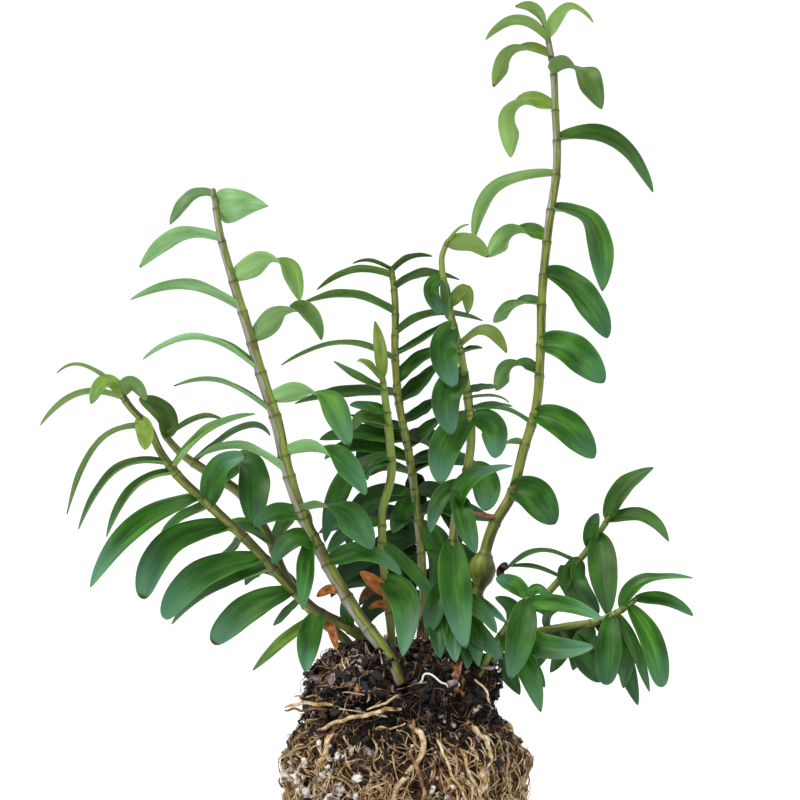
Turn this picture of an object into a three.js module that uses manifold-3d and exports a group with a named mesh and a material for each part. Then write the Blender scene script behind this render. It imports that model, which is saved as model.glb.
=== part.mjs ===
// A dendrobium orchid lifted out of its pot: ten leafy canes on one root ball.
// Millimetres, +Z up. The origin is the centre of the root ball's flat underside, the front faces -Y.
import * as THREE from 'three';
import { mergeVertices } from 'three/addons/utils/BufferGeometryUtils.js';
import Module from 'manifold-3d';

const wasm = await Module();
wasm.setup();

// ---- Driving dimensions --------------------------------------------------------------------------
const CLEARANCE = 0.4; // air between a cane or root and the ball that it stands in
const BLADE_THICKNESS = 0.75;
const BLADE_FOLD = 15; // degrees that each half of a blade rises from its midrib
const CROWN = 90; // height at which the canes leave the ball
const CANE_SIDES = 6;
const NODE_SWELL = 1.14; // a cane is this much thicker at its nodes
const SHORTEST_STEP = 5; // least height between two rings of a cane

const BALL_SECTORS = 22;
const BALL_DEPTH = 0.9; // the ball is a little shallower, front to back, than it is wide
// The root ball's outline from its flat underside to its crown: height, radius
const BALL_PROFILE = [
  [0, 38], [7, 43.5], [24, 46.5], [44, 47], [54, 43], [62, 37.5], [72, 37], [80, 37], [86, 31], [89, 14],
];

// Shallow lumps of the ball: depth as a share of its radius, lumps round it, turn for each millimetre up
const BALL_LUMPS = [[0.035, 3, 0.033], [0.025, 7, -0.11], [0.018, 11, 0.2]];
const LUMPS_START = 8; // height at which the lumps are full: the underside stays plain

const BARK_CHIPS = 26;
const BARK_CHIP_SIZE = [10, 6, 2.6];
const BARK_CHIP_HEIGHTS = [56, 89];
const PERLITE_GRAINS = 10;
const PERLITE_RADIUS = 2.8;
const PERLITE_HEIGHTS = [12, 56];
const PERLITE_SUNK = -0.4;
const SIZE_SPREAD = [0.7, 1.3]; // smallest and largest chip or grain, as a share of the usual size
const CHIP_TILT = 0.45; // radians that a chip or grain may tilt from lying flat on the ball
const GOLDEN_TURN = 2.4; // radians from one chip or grain to the next round the ball

const ROOTS = 7;
const ROOT_RADIUS = 1.25;
const ROOT_THINNING = 0.35; // share of its radius that a root loses towards its tip
const ROOT_SIDES = 5;
const ROOT_EXITS = [58, 62];
const ROOT_FEET = [8, 22];
const ROOT_WANDER = 0.6; // radians that a root may stray round the ball on its way down
const ROOT_WAVE = 0.09; // radians that it sways from side to side
const RHIZOME = [[-15, 0, 66], [2, -2, 68], [21, 0, 66]];
const RHIZOME_RADIUS = 4;

const CHIP_SEED = 41;
const GRAIN_SEED = 7;
const ROOT_SEED = 19;

const GREEN_LEAF = 0x3f7a2c;
const DEEP_LEAF = 0x356b26;
const BRIGHT_LEAF = 0x4f8a35;
const BARK_BLACK = 0x2a2220;
const ROOT_TAN = 0xa88354;

// ---- Blade outlines: share of the blade's length, share of its full width -------------------------
const LANCE = [[0, 0.24], [0.2, 0.74], [0.48, 1], [0.8, 0.76], [1, 0.16]];
const OVAL = [[0, 0.3], [0.2, 0.88], [0.48, 1], [0.82, 0.84], [1, 0.3]];
const WEDGE = [[0, 0.8], [0.25, 1], [0.62, 0.66], [1, 0.2]];
const SMALL = [[0, 0.3], [0.33, 0.92], [0.72, 0.88], [1, 0.18]];

// ---- The canes -----------------------------------------------------------------------------------
// lean: how far the cane and its leaves lean to the back for each millimetre above the crown.
// stem: x, y, z, radius from the foot up.
// leaves: height of the node, crest that the blade passes halfway, tip, width, and the way that the
// upper side faces at the base and at the tip in degrees (0 to the front, 90 up, 180 to the back).
const CANES = [
  {
    name: 'cane_tall',
    color: GREEN_LEAF,
    lean: 0.1,
    stem: [
      [24, 10, 72.5, 2.2], [29, 11, 99.5, 2.2], [32.5, 12, 112.5, 2.8], [33.5, 12, 116, 5],
      [33.5, 12, 120.5, 5.8],
      [33, 12, 125, 4.3], [33, 12, 128.5, 2.9], [37.5, 13, 136.5, 2.7], [45, 14, 149.5, 2.4],
      [50, 15, 167.5, 2.1], [55, 16, 184, 2], [57, 17, 205.5, 1.95],
      [58, 18, 233, 1.9], [61, 19, 261.5, 1.85], [64, 19, 282, 1.8], [63.5, 18, 305.5, 1.6],
      [62.5, 18, 325, 1.5], [60.5, 18, 336.5, 1.1],
    ],
    leaves: [
      [335.5, [55, 13, 347], [47, 10, 348.5], 5.5, 100, 150, SMALL],
      [334.5, [48, 15, 342.5], [35, 13, 335], 8, 110, 125, LANCE],
      [335.5, [69, 15, 348], [79, 12, 342], 7.5, 140, 115, SMALL],
      [328, [48, 16, 330.5], [38, 11, 315.5], 8.5, 85, 140, LANCE],
      [321, [75.5, 16, 322], [83, 12, 306], 9, 130, 35, LANCE],
      [306.5, [48.5, 15, 307.5], [45, 9, 286.5], 9.5, 80, 150, LANCE],
      [294, [85.5, 17, 293], [103, 14, 272.5], 10, 80, 50, LANCE],
      [280, [40, 20, 273], [30, 22, 252.5], 9, 105, 122, LANCE],
      [265.5, [78.5, 15, 258.5], [82, 11, 232], 11, 68, 28, LANCE],
      [252.5, [47.5, 18, 256], [35.5, 15, 246], 10, 85, 150, LANCE],
      [239, [72.5, 14, 231.5], [84, 10, 213], 12, 55, 25, LANCE],
      [226.5, [49, 18, 227], [38, 15, 219.5], 8, 85, 145, SMALL],
      [210.5, [69, 13, 208], [82.5, 9, 195], 12.5, 45, 15, OVAL],
      [198, [46.5, 18, 202], [39, 14, 192], 7.5, 60, 140, SMALL],
      [182, [67, 12, 176.5], [78.5, 9, 164.5], 12.5, 40, 10, OVAL],
      [178, [42.5, 20, 184], [28.5, 21, 184], 6, 92, 90, SMALL],
      [170, [43.5, 16, 170.5], [35.5, 14, 167.5], 7, 115, 60, SMALL],
      [151.5, [53.5, 10, 149], [62.5, 8, 138], 14.5, 15, 0, OVAL],
      [140.5, [34, 14, 140.5], [28.5, 14, 142.5], 2.6, 40, 40, SMALL],
    ],
  },
  {
    name: 'cane_left',
    color: GREEN_LEAF,
    lean: -0.09,
    stem: [
      [2, -11, 72, 2.5], [-5, -13, 86, 2.7], [-13, -14, 98, 2.75], [-22.5, -14, 112, 2.7],
      [-31, -13, 127, 2.6], [-39, -12, 143, 2.55], [-45, -12, 162, 2.55], [-49, -12, 180, 2.5],
      [-53, -12, 192, 2.4], [-60, -13, 216, 2.1], [-65.5, -13, 234, 1.9], [-70.5, -14, 252, 1.6],
      [-73.5, -14, 271, 1.1],
    ],
    leaves: [
      [268, [-81, -12, 267.5], [-90.5, -14, 257], 8.5, 112, 135, LANCE],
      [263.5, [-61.5, -15, 265], [-51.5, -18, 264], 14.5, 178, 165, WEDGE],
      [250.5, [-86.5, -13, 251.7], [-102.5, -16, 240], 10, 108, 128, LANCE],
      [235, [-49, -14, 242.5], [-39.5, -17, 227], 10, 150, 125, LANCE],
      [223, [-84, -12, 231.7], [-106.5, -12, 227.5], 10, 106, 112, LANCE],
      [211, [-41, -14, 223], [-31, -17, 211.5], 10, 145, 125, LANCE],
      [199, [-79, -13, 212.2], [-101.5, -14, 204], 9.5, 106, 104, LANCE],
      [182, [-70, -12, 194.7], [-89.5, -12, 193.5], 8.5, 116, 95, LANCE],
      [187, [-32, -14, 189.7], [-20, -18, 169.5], 10.5, 105, 25, LANCE],
      [158, [-62, -12, 168.7], [-81, -14, 165], 9, 100, 108, LANCE],
      [166, [-27.5, -16, 166.2], [-13.5, -19, 150.5], 11, 70, 35, LANCE],
      [141, [-49, -16, 142.2], [-58, -18, 138], 9, 40, 30, SMALL],
      [144, [-23, -17, 144.2], [-11, -20, 129], 13, 50, 20, LANCE],
      [130, [-42, -18, 133.2], [-50.5, -20, 123.5], 9.5, 40, 30, SMALL],
      [134, [-37, -19, 121.2], [-38.5, -20, 105], 8, 30, 5, LANCE],
      [123, [-14, -18, 126.7], [1, -21, 118.5], 10.5, 45, 55, LANCE],
    ],
  },
  {
    name: 'cane_low_front',
    color: BRIGHT_LEAF,
    lean: -0.16,
    stem: [
      [-6, -5, 73, 2.1], [-11, -5, 89, 2.2], [-20, -6, 97, 2.3], [-33, -9, 104, 2.3],
      [-46.5, -12, 117, 2.2],
      [-59, -14, 131, 2.1], [-74, -16, 145.5, 2], [-88.5, -18, 159.5, 1.9], [-95, -18, 169, 1.7],
      [-98, -18, 176, 1.6], [-106.5, -18, 186, 1.5], [-111.5, -18, 194, 1.1],
    ],
    leaves: [
      [193, [-125, -19, 201.5], [-134.5, -20, 198.5], 5, 95, 92, LANCE],
      [192, [-116.5, -21, 195.5], [-120.5, -22, 190], 7, 30, 20, SMALL],
      [188, [-125.5, -17, 190], [-141.5, -17, 178], 8, 95, 102, LANCE],
      [193, [-105.5, -20, 196], [-102, -21, 190], 9, 150, 160, SMALL],
      [181, [-100.2, -22, 175], [-100, -23, 168.5], 7, 0, 0, SMALL],
      [177, [-117.5, -20, 171.5], [-131, -22, 143], 8, 84, 74, LANCE],
      [162.5, [-111, -20, 160], [-126.5, -23, 137], 8.5, 72, 62, LANCE],
      [159, [-103.5, -20, 153.5], [-115.5, -23, 134], 8.5, 72, 62, LANCE],
      [160.5, [-75.5, -15, 175.5], [-57, -8, 182.5], 8.5, 74, 66, LANCE],
      [149, [-104.5, -20, 138], [-122, -24, 114], 12, 50, 35, LANCE],
      [147, [-71, -20, 161], [-60.5, -20, 166], 10, 0, 30, OVAL],
      [146, [-87.5, -9, 139.6], [-96, -6, 131], 8, 60, 60, SMALL],
      [138, [-90, -19, 130], [-101.5, -23, 109.5], 12.5, 40, 25, LANCE],
      [134, [-67, -8, 128.6], [-71, -6, 127], 6, 60, 60, SMALL],
      [125, [-78, -18, 118], [-93, -22, 101.5], 12.5, 40, 25, LANCE],
      [121, [-74, -7, 112.5], [-91, -5, 98.5], 8, 55, 55, SMALL],
      [112, [-60, -16, 105], [-74, -20, 91.5], 12, 35, 20, LANCE],
      [109, [-46.5, -5, 101.6], [-50.5, -4, 98], 6, 60, 50, SMALL],
      [103, [-46.5, -11, 91.5], [-58.5, -13, 80.5], 6, 45, 30, LANCE],
      [103.5, [-36, -14, 93], [-37.5, -16, 80], 10, 15, 0, LANCE],
      [97, [-21.5, -8, 103], [-23, -8, 108], 5, 10, 10, SMALL],
    ],
  },
  {
    name: 'cane_low_back',
    color: DEEP_LEAF,
    lean: 0.2,
    stem: [
      [-13, 3, 73, 2], [-20, 5, 89.5, 2], [-33, 7, 100.5, 2.1], [-46.5, 8, 117.5, 2.1],
      [-54.5, 9, 135.5, 2.1],
      [-65, 9, 150.5, 2.1], [-79, 9, 159.5, 2], [-89, 9, 166.5, 1.8], [-96.5, 8, 175, 1.3],
    ],
    leaves: [
      [173.5, [-96, 3, 181.5], [-105.5, -3, 188.5], 10.5, 20, 20, OVAL],
      [173, [-81, 7, 180.5], [-71, 6, 179.5], 7, 92, 92, SMALL],
      [162.5, [-63, 8, 176.5], [-52.5, 6, 173.5], 8.5, 75, 60, LANCE],
      [154.5, [-61, 4, 161], [-59, -2, 137], 13.5, 50, 5, OVAL],
      [111.5, [-54.5, 14, 119.5], [-62.5, 16, 113], 9, 50, 40, SMALL],
      [127.5, [-63, 13, 137], [-75, 15, 133.5], 9, 60, 50, SMALL],
      [127.5, [-42.5, 13, 141.5], [-36.5, 15, 133.5], 9, 120, 150, SMALL],
    ],
  },
  {
    name: 'cane_centre',
    color: DEEP_LEAF,
    lean: 0.06,
    stem: [
      [10, 4, 72.5, 1.7], [10, 6, 94.5, 1.8], [9, 7, 119.5, 1.8], [6, 7, 150, 1.75], [3, 7, 170, 1.7],
      [0, 7, 184, 1.7], [-2, 8, 205, 1.6], [-2, 8, 228.5, 1.5], [-3.5, 8, 241.5, 1.1],
    ],
    leaves: [
      [240.5, [-12, 8, 242.5], [-19, 8, 242], 4, 98, 98, SMALL],
      [237.5, [-18, 8, 239.5], [-33.5, 7, 232.5], 8.5, 105, 108, LANCE],
      [239.5, [4, 8, 245], [13, 7, 246], 6, 110, 105, SMALL],
      [232.5, [9, 7, 238.5], [24, 6, 236.5], 8.5, 110, 105, LANCE],
      [222.5, [-20, 8, 230], [-40.5, 7, 226.5], 9.5, 110, 108, LANCE],
      [214, [13, 9, 222.5], [33.5, 9, 220], 9, 110, 105, LANCE],
      [204, [-24, 8, 210.5], [-48, 7, 202], 9.5, 105, 105, LANCE],
      [206, [9, 11, 212], [20, 12, 220], 7, 70, 70, SMALL],
      [194, [7, 11, 203], [17, 12, 209], 8, 50, 50, SMALL],
      [187, [8, 11, 193.5], [16, 12, 203], 8.5, 45, 45, SMALL],
      [190, [-22, 11, 190.5], [-42.5, 11, 186.5], 10, 58, 62, LANCE],
      [179, [8, 11, 182], [16, 11, 189], 8, 60, 60, SMALL],
      [168, [9, 11, 174], [17, 10, 181], 8, 45, 45, SMALL],
      [176, [-12, 13, 178.5], [-20, 14, 182], 7, 60, 60, SMALL],
      [171, [-16, 13, 174], [-32.5, 14, 172], 9, 50, 50, SMALL],
      [163, [-17, 12, 168.5], [-30.5, 13, 164], 9, 45, 40, SMALL],
      [158, [13, 11, 163.5], [21, 10, 160], 9, 60, 40, SMALL],
      [152, [1, 9, 142], [-3, 8, 134.5], 9, 30, 20, SMALL],
      [139.5, [14, 9, 126], [13, 8, 109.5], 8, 30, 20, SMALL],
    ],
  },
  {
    name: 'cane_centre_left',
    color: GREEN_LEAF,
    lean: -0.02,
    stem: [
      [-2, 4, 72.5, 1.7], [-4, 1, 100, 1.8], [-7, -2, 130, 1.8], [-7, -2, 143, 1.8], [-3.5, -1, 158, 1.8],
      [-4, -1, 172, 1.8], [-5.5, -1, 185, 1.7], [-7, -1, 197, 1.2],
    ],
    leaves: [
      [197, [-8.5, -3, 210], [-10, -5, 219.5], 5.5, 15, 15, LANCE],
      [192, [-18, -1, 197.5], [-26.5, -2, 203.5], 6, 60, 60, SMALL],
      [195, [-13.5, -4, 202], [-17, -5, 203.5], 6, 100, 60, SMALL],
      [183, [-13, -5, 185], [-20, -7, 186], 7, 50, 50, SMALL],
      [178, [-14, -4, 181.5], [-18.5, -5, 176], 7, 50, 30, SMALL],
      [165, [-22, -2, 156.5], [-30, -4, 131], 9, 50, 15, LANCE],
      [164, [-11, -5, 161], [-13, -6, 156], 5, 40, 40, SMALL],
      [138, [-18, -3, 136.5], [-29, -4, 127], 8, 50, 40, SMALL],
      [131, [8, -9, 116], [15.5, -10, 103.5], 6, 30, 20, LANCE],
      [116, [2.5, -21, 107], [1, -38, 88.5], 12, 20, 0, LANCE],
    ],
  },
  {
    name: 'cane_centre_right',
    color: BRIGHT_LEAF,
    lean: -0.09,
    stem: [
      [17, -10, 73.5, 1.9], [18, -12, 95.5, 2], [20, -13, 120.5, 2], [22, -14, 140.5, 2],
      [26, -14, 157.5, 1.95],
      [28, -14, 170, 1.9], [27, -15, 187, 1.85], [24, -16, 205, 1.7], [20, -17, 221.5, 1.6],
      [17, -18, 236, 1.4], [16.5, -18, 244.5, 1.2], [19, -18, 251, 1],
    ],
    leaves: [
      [250, [23, -18, 255], [27, -17, 257], 3, 90, 90, SMALL],
      [249, [27.5, -19, 249.5], [34.5, -20, 244], 7.5, 165, 150, SMALL],
      [235, [18, -22, 229], [19, -24, 220.5], 5.5, 10, 0, SMALL],
      [236, [12, -18, 231], [18, -19, 221.5], 7, 20, 20, SMALL],
      [224.5, [25.5, -18, 231], [26.5, -19, 222], 6, 20, 20, SMALL],
      [217.5, [17, -21, 207], [21.5, -23, 193.5], 10.5, 10, 0, OVAL],
      [208.5, [33.5, -16, 214.5], [42, -17, 206.5], 7.5, 70, 40, SMALL],
      [206.5, [28.5, -15, 208], [32.5, -14, 208.5], 4, 75, 60, SMALL],
      [200, [16, -22, 189], [20.5, -24, 174.5], 11.5, 5, 0, OVAL],
      [191, [32, -15, 192.5], [38, -15, 193], 6.5, 60, 60, SMALL],
      [189, [37.5, -15, 189.5], [43, -15, 187], 3, 90, 90, SMALL],
      [184, [35.5, -14, 185.5], [44.5, -13, 185.5], 7, 70, 70, SMALL],
      [182, [18, -20, 170], [16, -23, 155], 12, 5, 0, OVAL],
      [178, [37.5, -13, 178], [32.5, -12, 166], 11, 20, 10, OVAL],
      [160.5, [34, -11, 154.5], [30, -10, 144], 11, 20, 20, OVAL],
      [155.5, [15.5, -20, 149], [12, -22, 135.5], 7.5, 20, 0, LANCE],
      [148.5, [25, -22, 141.5], [30, -24, 127.5], 9.5, 20, 10, LANCE],
      [143.5, [27, -20, 155.5], [44.5, -17, 162], 8.5, 20, 50, LANCE],
      [132.5, [21, -22, 113], [26, -24, 91], 13.5, 5, 0, LANCE],
      [115.5, [14, -20, 107], [11.5, -21, 95.5], 9, 10, 0, SMALL],
      [112.5, [33.5, -19, 106], [42.5, -22, 99.5], 5, 20, 20, LANCE],
      [108.5, [21, -26, 97.5], [24, -39, 84.5], 8.5, 5, 0, LANCE],
      [104.5, [30.5, -20, 94], [40.5, -24, 85.5], 10, 20, 25, SMALL],
    ],
  },
  {
    name: 'cane_right_upper',
    color: GREEN_LEAF,
    lean: 0.35,
    stem: [
      [33, 3, 72, 1.6], [40, 7, 87.5, 1.6], [50.5, 10, 99.5, 1.6], [62.5, 11, 113, 1.55],
      [76, 12, 127, 1.5],
      [85, 13, 140, 1.2],
    ],
    leaves: [
      [139, [91.5, 12, 151.5], [103.5, 11, 160.5], 8.5, 30, 40, LANCE],
      [138, [98.5, 12, 140.5], [109, 11, 130.5], 8, 55, 50, LANCE],
      [128, [78, 9, 136.5], [80.5, 8, 142], 6.5, 10, 10, SMALL],
      [133, [82.5, 6, 120.5], [83.5, 3, 101], 12.5, 5, 0, LANCE],
      [123, [70.5, 8, 113.5], [80, 6, 102], 10.5, 20, 10, OVAL],
      [118, [67, 8, 118.5], [66.5, 7, 110.5], 7, 20, 10, SMALL],
      [122, [57, 12, 126.5], [42.5, 11, 119], 6, 88, 70, SMALL],
      [116, [54.5, 13, 120], [43.5, 12, 120.5], 5, 88, 75, SMALL],
    ],
  },
  {
    name: 'cane_right_lower',
    color: GREEN_LEAF,
    lean: 0,
    stem: [
      [32, -8, 72.5, 1.5], [40, -9, 88.5, 1.5], [51.5, -10, 95, 1.5], [65.5, -12, 98, 1.5],
      [79.5, -14, 100.5, 1.5],
      [87.5, -15, 104.5, 1.4], [93.5, -16, 109, 1.1],
    ],
    leaves: [
      [105, [96, -17, 115.5], [116, -18, 117.5], 8, 40, 72, LANCE],
      [108.5, [105, -17, 108.5], [116, -18, 102.5], 6.5, 40, 40, SMALL],
      [106.5, [98.5, -20, 93.5], [103.5, -22, 74.5], 9.5, 25, 10, LANCE],
      [103.5, [93.5, -8, 86.5], [99.5, -6, 71.5], 6, 20, 20, LANCE],
      [102.5, [82, -21, 90], [81.5, -24, 75.5], 10.5, 5, 0, OVAL],
      [100.5, [88, -5, 84.5], [95, -3, 66], 9, 20, 10, LANCE],
      [99.5, [72.5, -7, 88.5], [80, -5, 75.5], 10, 20, 10, OVAL],
    ],
  },
  {
    name: 'shoot_front_right',
    color: BRIGHT_LEAF,
    lean: 0,
    stem: [[29, -15, 73, 1.5], [37.5, -16, 91, 1.5], [46.5, -19, 104, 1.5], [50.5, -20, 110, 1.1]],
    leaves: [
      [109, [44.5, -18, 114], [38, -16, 117.5], 8.5, 30, 20, SMALL],
      [109.5, [54.5, -18, 112.5], [58.5, -17, 109.5], 5, 30, 30, SMALL],
      [108, [65.5, -21, 106.5], [80, -25, 101.5], 7, 30, 30, LANCE],
      [108.5, [47.5, -27, 93.5], [43, -31, 78], 12.5, 0, 0, LANCE],
      [99, [57.5, -24, 90], [77, -28, 91], 10.5, 20, 25, LANCE],
      [95, [49.5, -24, 81.5], [55.5, -27, 65], 9, 15, 5, LANCE],
    ],
  },
];

// ---- Random numbers, the same on every run --------------------------------------------------------
function seededRandom(seed) {
  let state = seed;
  return () => {
    state = (state * 1664525 + 1013904223) % 4294967296;
    return state / 4294967296;
  };
}

function between([low, high], random) {
  return THREE.MathUtils.lerp(low, high, random());
}

// ---- Closed solids from rings of points -----------------------------------------------------------
// Each pair of rings is joined by quads. Edges from `mirrored` on are split along the other diagonal.
function loft(rings, capTriangles, mirrored = Infinity) {
  const count = rings[0].length;
  const positions = rings.flat().flatMap((point) => point.toArray());
  const indices = [];
  for (let row = 0; row < rings.length - 1; row += 1) {
    for (let edge = 0; edge < count; edge += 1) {
      const a = row * count + edge;
      const b = row * count + ((edge + 1) % count);
      const c = a + count;
      const d = b + count;
      if (edge < mirrored) {
        indices.push(a, b, d, a, d, c);
      } else {
        indices.push(a, b, c, b, d, c);
      }
    }
  }
  const last = (rings.length - 1) * count;
  for (const [a, b, c] of capTriangles) {
    indices.push(a, c, b);
    indices.push(last + a, last + b, last + c);
  }
  const geometry = new THREE.BufferGeometry();
  geometry.setAttribute('position', new THREE.Float32BufferAttribute(positions, 3));
  geometry.setIndex(indices);
  return geometry;
}

function fan(count) {
  return Array.from({ length: count - 2 }, (_, i) => [0, i + 1, i + 2]);
}

// A round bar through the given rows of x, y, z and radius. `level` is a direction that the bar never
// takes. Where it serves to cut a hole it is grown by `extra` all round.
function bar(rows, sides, extra = 0, level = new THREE.Vector3(0, 1, 0)) {
  const centres = rows.map(([x, y, z]) => new THREE.Vector3(x, y, z));
  const rings = rows.map(([, , , radius], i) => {
    const ahead = centres[Math.min(i + 1, rows.length - 1)];
    const behind = centres[Math.max(i - 1, 0)];
    const along = ahead.clone().sub(behind).normalize();
    const across = level.clone().cross(along).normalize();
    const up = along.clone().cross(across);
    const end = i === 0 ? -extra : (i === rows.length - 1 ? extra : 0);
    return Array.from({ length: sides }, (_, k) => {
      const angle = (2 * Math.PI * k) / sides;
      return centres[i].clone().addScaledVector(along, end)
        .addScaledVector(across, (radius + extra) * Math.cos(angle))
        .addScaledVector(up, (radius + extra) * Math.sin(angle));
    });
  });
  return loft(rings, fan(sides));
}

// ---- Geometries to solids and back ------------------------------------------------------------------
function toSolid(geometry) {
  const bare = geometry.clone();
  bare.deleteAttribute('normal');
  bare.deleteAttribute('uv');
  const merged = mergeVertices(bare, 1e-4);
  return new wasm.Manifold(new wasm.Mesh({
    numProp: 3,
    vertProperties: new Float32Array(merged.attributes.position.array),
    triVerts: new Uint32Array(merged.index.array),
  }));
}

function toGeometry(solid) {
  const mesh = solid.getMesh();
  const geometry = new THREE.BufferGeometry();
  geometry.setAttribute('position', new THREE.BufferAttribute(new Float32Array(mesh.vertProperties), 3));
  geometry.setIndex(new THREE.BufferAttribute(new Uint32Array(mesh.triVerts), 1));
  return geometry;
}

// The biggest body of a solid: a cut can leave crumbs
function mainBody(solid) {
  const bodies = solid.decompose();
  return bodies.reduce((best, body) => (body.volume() > best.volume() ? body : best));
}

// ---- Canes and leaves -----------------------------------------------------------------------------
function leaned(cane, x, y, z) {
  return new THREE.Vector3(x, y + cane.lean * Math.max(z - CROWN, 0), z);
}

// Position and radius of a stem at a height, on a smooth curve through its rows
function stemAt(cane, height) {
  const { stem } = cane;
  const curve = new THREE.CatmullRomCurve3(stem.map(([x, y, z]) => leaned(cane, x, y, z)));
  const points = curve.getPoints(stem.length * 24);
  const above = points.findIndex((point) => point.z >= height);
  const next = above < 0 ? points.length - 1 : Math.max(above, 1);
  const share = (height - points[next - 1].z) / (points[next].z - points[next - 1].z);
  const row = stem.findIndex(([, , z]) => z >= height) || 1;
  const part = (height - stem[row - 1][2]) / (stem[row][2] - stem[row - 1][2]);
  return {
    place: points[next - 1].clone().lerp(points[next], share),
    radius: THREE.MathUtils.lerp(stem[row - 1][3], stem[row][3], part),
  };
}

// The stem's own rows, and one more at each node that isn't next to a row already there
function caneRows(cane) {
  const nodes = [...new Set(cane.leaves.map(([height]) => height))].sort((a, b) => a - b);
  const heights = cane.stem.map(([, , z]) => z);
  for (const height of nodes) {
    if (heights.every((other) => Math.abs(other - height) > SHORTEST_STEP)) {
      heights.push(height);
    }
  }
  return heights.sort((a, b) => a - b).map((height) => {
    const { place, radius } = stemAt(cane, height);
    const atNode = nodes.some((other) => Math.abs(other - height) < SHORTEST_STEP / 2);
    return [place.x, place.y, place.z, radius * (atNode ? NODE_SWELL : 1)];
  });
}

// One blade: an arch from the middle of the cane through its crest to its tip, folded along its midrib
function blade(cane, [node, crest, tip, width, turnBase, turnTip, outline]) {
  const base = stemAt(cane, node).place;
  const through = leaned(cane, ...crest);
  const end = leaned(cane, ...tip);
  const handle = through.multiplyScalar(2).addScaledVector(base, -0.5).addScaledVector(end, -0.5);
  const arch = new THREE.QuadraticBezierCurve3(base, handle, end);
  const side = end.x > base.x ? 1 : -1;
  const fold = THREE.MathUtils.degToRad(BLADE_FOLD);
  const rings = outline.map(([share, fullness]) => {
    const middle = arch.getPointAt(share);
    const along = arch.getTangentAt(share);
    const upward = new THREE.Vector3(-along.z * side, 0, along.x * side).normalize();
    const forward = along.clone().cross(upward).multiplyScalar(side);
    const turn = THREE.MathUtils.degToRad(THREE.MathUtils.lerp(turnBase, turnTip, share));
    const normal = forward.multiplyScalar(Math.cos(turn)).addScaledVector(upward, Math.sin(turn));
    const across = normal.clone().cross(along).normalize();
    const reach = (width / 2) * fullness;
    const corner = (sign, face) => middle.clone()
      .addScaledVector(across, sign * reach * Math.cos(fold))
      .addScaledVector(normal, Math.abs(sign) * reach * Math.sin(fold) + (face * BLADE_THICKNESS) / 2);
    return [corner(1, 1), corner(0, 1), corner(-1, 1), corner(-1, -1), corner(0, -1), corner(1, -1)];
  });
  return loft(rings, [[0, 1, 4], [0, 4, 5], [1, 2, 3], [1, 3, 4]], 3);
}

function leafyCane(cane) {
  let solid = toSolid(bar(caneRows(cane), CANE_SIDES));
  for (const leaf of cane.leaves) {
    solid = solid.add(toSolid(blade(cane, leaf)));
  }
  return mainBody(solid);
}

// ---- Root ball --------------------------------------------------------------------------------------
// Radius of the ball at a height and a bearing: its outline, with shallow lumps
function ballRadius(height, bearing) {
  const row = Math.max(BALL_PROFILE.findIndex(([z]) => z >= height), 1);
  const [lowZ, lowR] = BALL_PROFILE[row - 1];
  const [highZ, highR] = BALL_PROFILE[row];
  const radius = THREE.MathUtils.lerp(lowR, highR, (height - lowZ) / (highZ - lowZ));
  const lumps = BALL_LUMPS.reduce(
    (sum, [depth, count, twist]) => sum + depth * Math.sin(count * bearing + twist * height),
    0,
  );
  return radius * (1 + lumps * Math.min(height / LUMPS_START, 1));
}

function ballPoint(height, bearing, outward = 0) {
  const radius = ballRadius(height, bearing) + outward;
  return new THREE.Vector3(
    radius * Math.cos(bearing),
    radius * Math.sin(bearing) * BALL_DEPTH,
    height,
  );
}

function plainBall() {
  const rings = BALL_PROFILE.map(([height]) => Array.from(
    { length: BALL_SECTORS },
    (_, k) => ballPoint(height, (2 * Math.PI * k) / BALL_SECTORS),
  ));
  return toSolid(loft(rings, fan(BALL_SECTORS)));
}

// A loose piece set on the ball at a height and bearing, turned at random
function onBall(geometry, height, bearing, outward, random) {
  const place = ballPoint(height, bearing, outward);
  const outside = new THREE.Vector3(Math.cos(bearing), Math.sin(bearing), 0.25).normalize();
  const lying = new THREE.Quaternion().setFromUnitVectors(new THREE.Vector3(0, 0, 1), outside);
  const spin = new THREE.Quaternion().setFromEuler(new THREE.Euler(
    between([-CHIP_TILT, CHIP_TILT], random),
    between([-CHIP_TILT, CHIP_TILT], random),
    between([0, 2 * Math.PI], random),
  ));
  const matrix = new THREE.Matrix4().compose(place, lying.multiply(spin), new THREE.Vector3(1, 1, 1));
  return toSolid(geometry.applyMatrix4(matrix));
}

function barkChips() {
  const random = seededRandom(CHIP_SEED);
  return Array.from({ length: BARK_CHIPS }, (_, i) => {
    const [length, width, thickness] = BARK_CHIP_SIZE.map((size) => size * between(SIZE_SPREAD, random));
    const chip = new THREE.BoxGeometry(length, width, thickness);
    return onBall(chip, between(BARK_CHIP_HEIGHTS, random), i * GOLDEN_TURN, 0, random);
  });
}

function perlite() {
  const random = seededRandom(GRAIN_SEED);
  return Array.from({ length: PERLITE_GRAINS }, (_, i) => {
    const grain = new THREE.IcosahedronGeometry(PERLITE_RADIUS * between(SIZE_SPREAD, random), 0);
    return onBall(grain, between(PERLITE_HEIGHTS, random), i * GOLDEN_TURN, PERLITE_SUNK, random);
  });
}

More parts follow.
